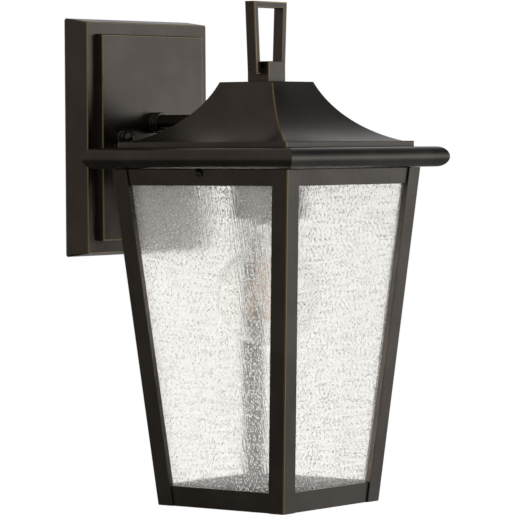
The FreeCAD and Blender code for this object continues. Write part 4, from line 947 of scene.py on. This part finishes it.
# ---------------------------------------------------------------- finial
class LANTERN_OT_finial(Builder, bpy.types.Operator):
    """Build the trapezoid ring finial, its block and the stud and nut that hold it"""
    bl_idname = "lantern.finial"
    bl_label = "Finial"

    def build(self, size):
        low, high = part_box("finial_ring")
        bar, deep = size.ring_bar, (high.y - low.y) / 2
        half_top, half_low = high.x, RING_FOOT_HALF
        section, wear = softened([(0, -deep), (0, deep), (bar, deep), (bar, -deep)], 0.55 * MM,
                                 [1, 1, 0.5, 0.5], size.rub, steps=4)
        d = section[:, 0][:, None]
        z0, z1 = low.z + d, high.z - d
        taper = (half_top - half_low) / (high.z - low.z)
        x0 = half_low + taper * (z0 - low.z) - d
        x1 = half_low + taper * (z1 - low.z) - d
        x = np.concatenate([-x0, x0, x1, -x1], 1)
        z = np.concatenate([z0, z0, z1, z1], 1)
        y = np.broadcast_to(AXIS_Y + section[:, 1][:, None], x.shape)
        ring = grid(np.stack([x, y, z], -1), wear[:, None], wrap_rows=True)
        piece("ring_finial", ring, "antique_bronze", "finial_ring")
        low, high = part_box("finial_block")
        rows = ends_rounded((high.x, high.x, low.z), (high.x, high.x, high.z), 0.45 * MM)
        wear = np.zeros(len(rows))
        wear[4:-1] = 0.8
        wear[4] = 0
        part = boxy(rows, 0.6 * MM, wear, 0.8, size.rub, centre=(0, AXIS_Y))
        piece("finial_plinth", part, "antique_bronze", "finial_block")
        low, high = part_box("finial_stud")
        stud = threaded(FINIAL_STUD_R, FINIAL_THREAD, high.z - low.z, (0, AXIS_Y, low.z))
        piece("finial_screw", stud, "zinc_plate", "finial_stud")
        low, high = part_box("finial_nut")
        nut = hex_nut(FINIAL_NUT_FLATS, high.z - low.z, FINIAL_STUD_R + SEAT, (0, AXIS_Y, low.z))
        piece("finial_hex", nut, "zinc_plate", "finial_nut")


# ---------------------------------------------------------------- cage
def cage_planes():
    """Bottom and top heights of the cage and its half widths there."""
    low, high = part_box("corner_post_front_right")
    return low.z, high.z, high.x - CAGE_SLOPE * (high.z - low.z), high.x


def cage_half(z):
    """Half width of the cage's outer planes at a height: a straight taper."""
    z0, z1, h0, h1 = cage_planes()
    return h0 + (h1 - h0) * (z - z0) / (z1 - z0)


class LANTERN_OT_posts(Builder, bpy.types.Operator):
    """Build the four leaning angle posts of the cage"""
    bl_idname = "lantern.posts"
    bl_label = "Corner posts"

    def build(self, size):
        z0, z1, _, _ = cage_planes()
        leg, wall, end = size.post_leg, size.post_wall, 0.3 * MM

        def section(e):
            corners = [(-e, -e), (-leg + e, -e), (-leg + e, -wall + e), (-wall + e, -wall + e),
                       (-wall + e, -leg + e), (-e, -leg + e)]
            return softened(corners, [size.edge, 0.4 * MM, 0.3 * MM, 0.5 * MM, 0.3 * MM, 0.4 * MM],
                            [1, 0.25, 0, 0, 0, 0.25], size.rub, steps=5)
        full, wear = section(0.0)
        small, _ = section(end)
        z = np.array([z0, z0 + end, z1 - end, z1])
        loops = np.stack([small, full, full, small])
        out = cage_half(z)[:, None]
        for name_y, sy in (("front", -1), ("rear", 1)):
            for name_x, sx in (("left", -1), ("right", 1)):
                x, y = sx * (out + loops[..., 0]), AXIS_Y + sy * (out + loops[..., 1])
                points = np.stack([x, y, np.broadcast_to(z[:, None], x.shape)], -1)
                node = "corner_post_{}_{}".format(name_y, name_x)
                # The front-left post, the one nearest the camera, gets the full brass edge and the others
                # 0.4 of it. This is partly rubbed wear and partly a painted highlight along that post.
                worn = wear[None] * (1.0 if (name_y, name_x) == ("front", "left") else 0.4)
                piece("post_{}_{}".format(name_y, name_x), grid(points, worn),
                      "antique_bronze", node)


def leaning_slab(half_w, front, back, z0, z1, radius):
    """Plate that leans with the cage, between two depths behind its outer plane."""
    a0, a1, b = half_w(z0), half_w(z1), (back - front) / 2
    rows = ends_rounded((a0, b, z0), (a1, b, z1), radius)
    depth = -(cage_half(rows[:, 2]) - (front + back) / 2)
    return boxy(rows, radius, wear_corner=0.0, margin=0.0, steps=3, centre=(0, AXIS_Y + depth))


class LANTERN_OT_rails(Builder, bpy.types.Operator):
    """Build the header rails and the channel-shaped bottom rails of the cage"""
    bl_idname = "lantern.rails"
    bl_label = "Cage rails"

    def build(self, size):
        z0, z1, _, _ = cage_planes()
        gap = size.post_leg + SEAT

        def half_w(z):
            return cage_half(z) - gap
        front, back = size.setback, size.post_wall
        top = leaning_slab(half_w, front, back, z1 - HEADER_H, z1, 0.35 * MM)
        lip0 = back + SEAT + size.glass + LIP_T
        lip1, face, lip_z, floor = lip0 + LIP_T, z0 + SILL_H, z0 + LIP_H, z0 + SILL_T
        corners = [(front, z0), (lip1, z0), (lip1, lip_z), (lip0, lip_z), (lip0, floor),
                   (back, floor), (back, face), (front, face)]
        outline, _ = softened(corners, 0.35 * MM)
        depth, z = outline.T
        x = np.stack([-half_w(z), half_w(z)])
        y = np.broadcast_to(AXIS_Y - (cage_half(z) - depth), x.shape)
        channel = grid(np.stack([x, y, np.broadcast_to(z, x.shape)], -1))
        for turn, side in enumerate(SIDES):
            for name, part, node in (("header_", top, "top_rail_"), ("sill_", channel, "bottom_rail_")):
                piece(name + side, turned_about_axis(part, turn), "antique_bronze", node + side)
        paint("zinc_plate", "glass_clips")
        paint("shell_brass", "cage_inserts")


def bubbles(count, seed, z0, z1, half_w, mid_depth, spread):
    """Small upright ellipsoids (r cos v cos u, r cos v sin u, stretch r sin v) strewn in a pane."""
    rng = np.random.default_rng(seed)
    rows, cols = 5, 7
    v = np.linspace(-1.35, 1.35, rows)[:, None]
    u = np.linspace(0, 2 * math.pi, cols, endpoint=False)[None]
    unit = np.stack([np.cos(v) * np.cos(u), np.cos(v) * np.sin(u), np.sin(v) + 0 * u], -1)
    z = rng.uniform(z0, z1, count)
    x = rng.uniform(-1, 1, count) * half_w(z)
    r = rng.uniform(0.22, 0.5, count) * MM
    long_ = rng.uniform(1.0, 2.6, count)
    y = AXIS_Y - (cage_half(z) - mid_depth) + rng.uniform(-1, 1, count) * spread
    centre = np.stack([x, y, z], -1)
    scale = np.stack([r, 0.7 * r, r * long_], -1)
    points = centre[:, None, None] + scale[:, None, None] * unit[None]
    index = np.arange(count * rows * cols).reshape(count, rows, cols)
    nxt = np.roll(index, -1, 2)
    quads = np.stack([index[:, :-1], nxt[:, :-1], nxt[:, 1:], index[:, 1:]], -1).reshape(-1, 4)
    caps = index[:, 0, ::-1].tolist() + index[:, -1].tolist()
    return flipped((points.reshape(-1, 3), quads.tolist() + caps, np.zeros(points.size // 3)))


class LANTERN_OT_glass(Builder, bpy.types.Operator):
    """Build the four seeded panes with small bubbles in them"""
    bl_idname = "lantern.glass"
    bl_label = "Glass panes"

    def build(self, size):
        z0, z1, _, _ = cage_planes()
        low, high = z0 + PANE_LIFT, z1 - PANE_DROP
        front = size.post_wall + SEAT
        back = front + size.glass

        def half_w(z):
            return cage_half(z) - (size.post_leg - size.glass_tuck)
        pane = leaning_slab(half_w, front, back, low, high, 0.3 * MM)

        def inner_w(z):
            return half_w(z) - 2 * MM
        for turn, side in enumerate(SIDES):
            made = piece("pane_" + side, turned_about_axis(pane, turn), "pane_glass",
                         "glass_pane_" + side)
            seeds = bubbles(size.seeds, 11 + turn, low + 3 * MM, high - 3 * MM, inner_w,
                            (front + back) / 2, 0.8 * MM)
            strewn = piece("seeds_" + side, turned_about_axis(seeds, turn), "seed_air",
                           "glass_pane_" + side, weighted=False)
            strewn.parent = made.parent


class LANTERN_OT_cage_screws(Builder, bpy.types.Operator):
    """Finish the two side screws that hold the cage up"""
    bl_idname = "lantern.cage_screws"
    bl_label = "Cage screws"

    def build(self, size):
        for side in ("left", "right"):
            paint("antique_bronze", "cage_screw_" + side)
            paint("antique_bronze", "cage_screw_washer_" + side)


# ---------------------------------------------------------------- socket and lamp
class LANTERN_OT_socket(Builder, bpy.types.Operator):
    """Build the socket: bracket, nipple, bronze cup, porcelain holder and its contacts"""
    bl_idname = "lantern.socket"
    bl_label = "Socket"

    def build(self, size):
        low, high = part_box("socket_cup")
        r, tall, w = (high.x - low.x) / 2, high.z - low.z, CUP_WALL
        ring = [(r - w, 0), (r, 0), (r, tall), (CUP_HOLE, tall), (CUP_HOLE, tall - w), (r - w, tall - w)]
        ring, wear = softened(ring, [0.3 * MM, 0.3 * MM, 1.2 * MM, 0.2 * MM, 0.2 * MM, 0.8 * MM],
                              [0, 0.3, 0.2, 0, 0, 0])
        piece("socket_cover", turned(ring, (0, AXIS_Y, low.z), around=96, closed=True, rub=wear),
              "antique_bronze", "socket_cup")
        low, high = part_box("socket_holder")
        r, tall = (high.x - low.x) / 2, high.z - low.z
        bore, deep, (well, step) = HOLDER_BORE, tall - HOLDER_FLOOR, HOLDER_WELL
        ring = [(bore, 0), (r, 0), (r, tall), (well, tall), (well, tall - step),
                (NIPPLE_BORE, tall - step), (NIPPLE_BORE, deep), (bore, deep)]
        ring, _ = softened(ring, np.array([0.8, 1.0, 1.0, 0.2, 0.1, 0.1, 0.1, 0.6]) * MM)
        piece("porcelain_holder", turned(ring, (0, AXIS_Y, low.z), around=80, closed=True),
              "glazed_porcelain", "socket_holder")
        low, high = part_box("socket_nipple")
        nipple = threaded(NIPPLE_R, NIPPLE_THREAD, high.z - low.z, (0, AXIS_Y, low.z), inside=NIPPLE_BORE)
        piece("threaded_nipple", nipple, "zinc_plate", "socket_nipple")
        low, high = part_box("socket_nut")
        nut = hex_nut(NIPPLE_NUT_FLATS, high.z - low.z, NIPPLE_R + SEAT, (0, AXIS_Y, low.z))
        piece("nipple_nut", nut, "zinc_plate", "socket_nut")
        low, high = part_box("bracket_nuts")
        half = BRACKET_NUT_FLATS / 2
        nuts = [hex_nut(BRACKET_NUT_FLATS, high.z - low.z, BRACKET_NUT_BORE, (0, y, low.z))
                for y in (low.y + half, high.y - half)]
        piece("bracket_hexes", joined(nuts), "zinc_plate", "bracket_nuts")
        paint("zinc_plate", "socket_bracket", "bracket_screws")
        paint("shell_brass", "socket_shell", "socket_contact")
        paint("lead_cover", "socket_leads")


def lamp_profile(size, inset, throat_z, low_z, steps):
    """Rows of the bulb: a ball, a concave flank tangent to it, and a straight neck."""
    neck0, ball0 = LAMP_NECK, size.lamp
    centre = low_z + ball0
    drop = throat_z - centre
    flank = (neck0 ** 2 + drop ** 2 - ball0 ** 2) / (2 * (ball0 - neck0))
    lean = math.atan2(drop, neck0 + flank)
    t = np.linspace(-math.pi / 2 + 0.01, lean, steps)
    ball = np.stack([(ball0 - inset) * np.cos(t), centre + (ball0 - inset) * np.sin(t)], 1)
    t = np.linspace(math.pi + lean, math.pi, steps // 2)[1:]
    side = np.stack([neck0 + flank + (flank + inset) * np.cos(t), throat_z + (flank + inset) * np.sin(t)], 1)
    return np.concatenate([ball, side])


class LANTERN_OT_lamp(Builder, bpy.types.Operator):
    """Build the clear filament lamp: bulb, stem, coated strips, screw base, insulator and tip"""
    bl_idname = "lantern.lamp"
    bl_label = "Lamp"

    def build(self, size):
        low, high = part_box("lamp_envelope")
        throat = high.z - LAMP_THROAT
        outer = lamp_profile(size, 0.0, throat, low.z, 64)
        inner = lamp_profile(size, size.lamp_wall, throat, low.z, 48)[::-1]
        rim = [(outer[-1, 0], high.z), (inner[0, 0], high.z)]
        rows = np.concatenate([outer, rim, inner])
        piece("bulb", turned(rows, (0, AXIS_Y, 0), around=96), "lamp_glass", "lamp_envelope",
              weighted=False, sharp=60)
        low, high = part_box("lamp_base")
        tall = high.z - low.z
        shell = threaded(BASE_R, BASE_THREAD, tall - 2 * BASE_END, (0, AXIS_Y, low.z + BASE_END),
                         around=72, per_turn=14, inside=BASE_BORE)
        rim = washer(12.3 * MM, 12.9 * MM, 1 * MM, 0.2 * MM, (0, AXIS_Y, low.z), around=72)
        rows = np.array([(0.2, 0), (11.2, 0), (12.4, 0.5), (12.4, 0.9), (10.8, 1.5), (0.2, 1.5)]) * MM
        lid = turned(rows, (0, AXIS_Y, high.z - BASE_LID), around=72)
        piece("screw_base", joined([shell, rim, lid]), "lamp_brass", "lamp_base",
              weighted=False, sharp=60)
        paint("base_insulator", "lamp_nose")
        paint("tin_solder", "lamp_tip")
        paint("lamp_glass", "lamp_stem")
        low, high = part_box("lamp_filaments")
        half = STRIP_HALF
        strips = []
        t = np.linspace(0, math.pi / 2, 5)
        for index in range(4):
            turn = math.pi / 2 * (index + 0.5)
            way = np.array([math.cos(turn), math.sin(turn), 0.0])
            head = np.array([0, AXIS_Y, 0]) + way * STRIP_HEAD
            tail = np.array([0, AXIS_Y, 0]) + way * STRIP_FOOT
            head[2], tail[2] = high.z - half, low.z + half * 0.4
            long_ = np.linalg.norm(tail - head)
            ends = np.stack([half * np.sin(t), half * (1 - np.cos(t))], 1)
            rows = np.concatenate([ends, np.stack([ends[::-1, 0], long_ - ends[::-1, 1]], 1)])
            rows[[0, -1], 0] = 0.05 * MM
            strips.append(turned(rows, head, tail - head, around=16))
            wire_start = np.array([0, AXIS_Y, tail[2] + half]) + way * 1.55 * MM
            strips.append(turned([(0.2 * MM, 0), (0.2 * MM, 9.8 * MM)], wire_start, way, around=10))
        piece("filament_strips", joined(strips), "amber_coating", "lamp_filaments")


# ---------------------------------------------------------------- stage
def studio_world(look):
    """Plain white behind the object, and a soft studio for its reflections: bright to the right
    near the horizon, dim to the left, above and below.

    Rays through the glass see white too, but those that were also reflected and head into a cone
    away from the camera see the studio dimmed.
    """
    world = bpy.data.worlds.new("studio")
    world.use_nodes = True
    tree = world.node_tree
    back = next(n for n in tree.nodes if n.type == "BACKGROUND")
    way = tree.nodes.new("ShaderNodeTexCoord").outputs["Generated"]
    axes = tree.nodes.new("ShaderNodeSeparateXYZ")
    tree.links.new(way, axes.inputs[0])
    x, y, z = axes.outputs
    towards = plus(tree, times(tree, x, 0.95), times(tree, y, -0.30))
    side = ramp(tree, towards, 0.10, 0.65)
    lift = maths(tree, "SUBTRACT", z, times(tree, y, 0.35))
    above = ramp(tree, lift, 0.28, 0.56, 1.0, 0.0)
    below = ramp(tree, z, -0.30, -0.06, 0.26, 1.0)
    tint = mixed(tree, side, (1.08, 1.0, 0.95), (0.98, 1.0, 1.03))
    bright = times(tree, times(tree, side, above), look.glow)
    level = plus(tree, bright, ramp(tree, side, 0.0, 1.0, look.gloom, 0.3 * look.gloom))
    level = times(tree, level, below)
    ray = tree.nodes.new("ShaderNodeLightPath").outputs
    through = ray["Is Transmission Ray"]
    mirrored = times(tree, maths(tree, "GREATER_THAN", ray["Glossy Depth"], 0.5),
                     maths(tree, "LESS_THAN", ray["Transmission Depth"], 4.5))
    ahead = plus(tree, times(tree, x, 0.79), times(tree, y, -0.61))
    hidden = times(tree, mirrored, ramp(tree, ahead, 0.35, 0.80))
    seen = maths(tree, "MAXIMUM", ray["Is Camera Ray"],
                 times(tree, through, maths(tree, "SUBTRACT", 1.0, hidden)))
    seen = maths(tree, "MAXIMUM", seen, ray["Is Diffuse Ray"])
    veil = maths(tree, "SUBTRACT", 1.0, times(tree, through, 0.8))
    veiled = times(tree, level, veil)
    studio = mixed(tree, 1.0, mixed(tree, veiled, (0, 0, 0), (1, 1, 1)), tint, "MULTIPLY")
    white = mixed(tree, ray["Is Camera Ray"], (1.27, 1.26, 1.23), (1.0, 1.0, 1.0))
    tree.links.new(mixed(tree, seen, studio, white), back.inputs["Color"])
    world.cycles.sampling_method = "NONE"
    bpy.context.scene.world = world


def soft_light(name, place, aim, size, power):
    """Square area light turned to face a point."""
    data = bpy.data.lights.new(name, "AREA")
    data.shape, data.size, data.energy = "SQUARE", size, power
    lamp = bpy.data.objects.new(name, data)
    lamp.location = place
    lamp.rotation_euler = (Vector(aim) - Vector(place)).to_track_quat("-Z", "Y").to_euler()
    bpy.context.scene.collection.objects.link(lamp)
    return lamp


class LANTERN_OT_stage(bpy.types.Operator):
    """Set up the pale floor, the soft studio light and the camera"""
    bl_idname = "lantern.stage"
    bl_label = "Stage"

    def execute(self, context):
        scene, look = context.scene, context.scene.lantern_look
        half, drop = 3.0, -1.3
        t = np.linspace(0, 2 * math.pi, 96, endpoint=False)
        ring = np.stack([half * np.cos(t), half * np.sin(t) - 0.1, 0 * t + drop], 1)
        mesh = bpy.data.meshes.new("floor")
        mesh.from_pydata(ring.tolist(), [], [list(range(96))])
        floor = bpy.data.objects.new("floor", mesh)
        scene.collection.objects.link(floor)
        mesh.materials.append(plain_finish("pale_floor", (0.84, 0.84, 0.83), (0.80, 0.80, 0.79),
                                           0.7, 3.0, 0.0001))
        floor.visible_glossy = False
        studio_world(look)
        soft_light("key", (1.9, -1.7, 0.5), (0, -0.12, -0.08), 1.4, look.key)
        soft_light("fill", (-0.4, -1.2, 2.2), (0, -0.12, -0.08), 1.6, look.fill)
        turn, pitch, roll = math.radians(-52.01), math.radians(2.07), math.radians(0.329)
        level = math.cos(pitch)
        ahead = Vector((-math.sin(turn) * level, math.cos(turn) * level, -math.sin(pitch)))
        right = Vector((math.cos(turn), math.sin(turn), 0))
        up = right.cross(ahead)
        c, s = math.cos(roll), math.sin(roll)
        right, up = right * c - up * s, up * c + right * s
        data = bpy.data.cameras.new("camera")
        data.sensor_width, data.lens = 36.0, 233.6
        camera = bpy.data.objects.new("camera", data)
        scene.collection.objects.link(camera)
        basis = Matrix((right, up, -ahead)).transposed().to_4x4()
        camera.matrix_world = Matrix.Translation(Vector((-1.7858, -1.5098, 0.0))) @ basis
        scene.camera = camera
        scene.view_settings.view_transform = "Standard"
        return {"FINISHED"}


# ---------------------------------------------------------------- panel and start
PIECE_OPERATORS = (
    LANTERN_OT_backplate, LANTERN_OT_wall_hardware, LANTERN_OT_cap_nuts, LANTERN_OT_arm,
    LANTERN_OT_roof, LANTERN_OT_eave, LANTERN_OT_finial, LANTERN_OT_posts, LANTERN_OT_rails,
    LANTERN_OT_glass, LANTERN_OT_cage_screws, LANTERN_OT_socket, LANTERN_OT_lamp, LANTERN_OT_stage,
)


class LANTERN_PT_sidebar(bpy.types.Panel):
    """Sizes, looks and buttons of the lantern"""
    bl_label = "Wall Lantern"
    bl_idname = "LANTERN_PT_sidebar"
    bl_space_type = "VIEW_3D"
    bl_region_type = "UI"
    bl_category = "Lantern"

    def draw(self, context):
        for group in (context.scene.lantern_sizes, context.scene.lantern_look):
            box = self.layout.box()
            for label in group.__annotations__:
                box.prop(group, label)
        for operator in PIECE_OPERATORS:
            self.layout.operator(operator.bl_idname)


CLASSES = (LANTERN_PG_sizes, LANTERN_PG_look) + PIECE_OPERATORS + (LANTERN_PT_sidebar,)


def register():
    """Adds the classes and the scene's settings."""
    for cls in CLASSES:
        bpy.utils.register_class(cls)
    bpy.types.Scene.lantern_sizes = PointerProperty(type=LANTERN_PG_sizes)
    bpy.types.Scene.lantern_look = PointerProperty(type=LANTERN_PG_look)


def unregister():
    """Takes them away again."""
    del bpy.types.Scene.lantern_look
    del bpy.types.Scene.lantern_sizes
    for cls in reversed(CLASSES):
        bpy.utils.unregister_class(cls)


def main():
    register()
    for operator in PIECE_OPERATORS:
        group, call = operator.bl_idname.split(".")
        getattr(getattr(bpy.ops, group), call)()


if __name__ == "__main__":
    main()
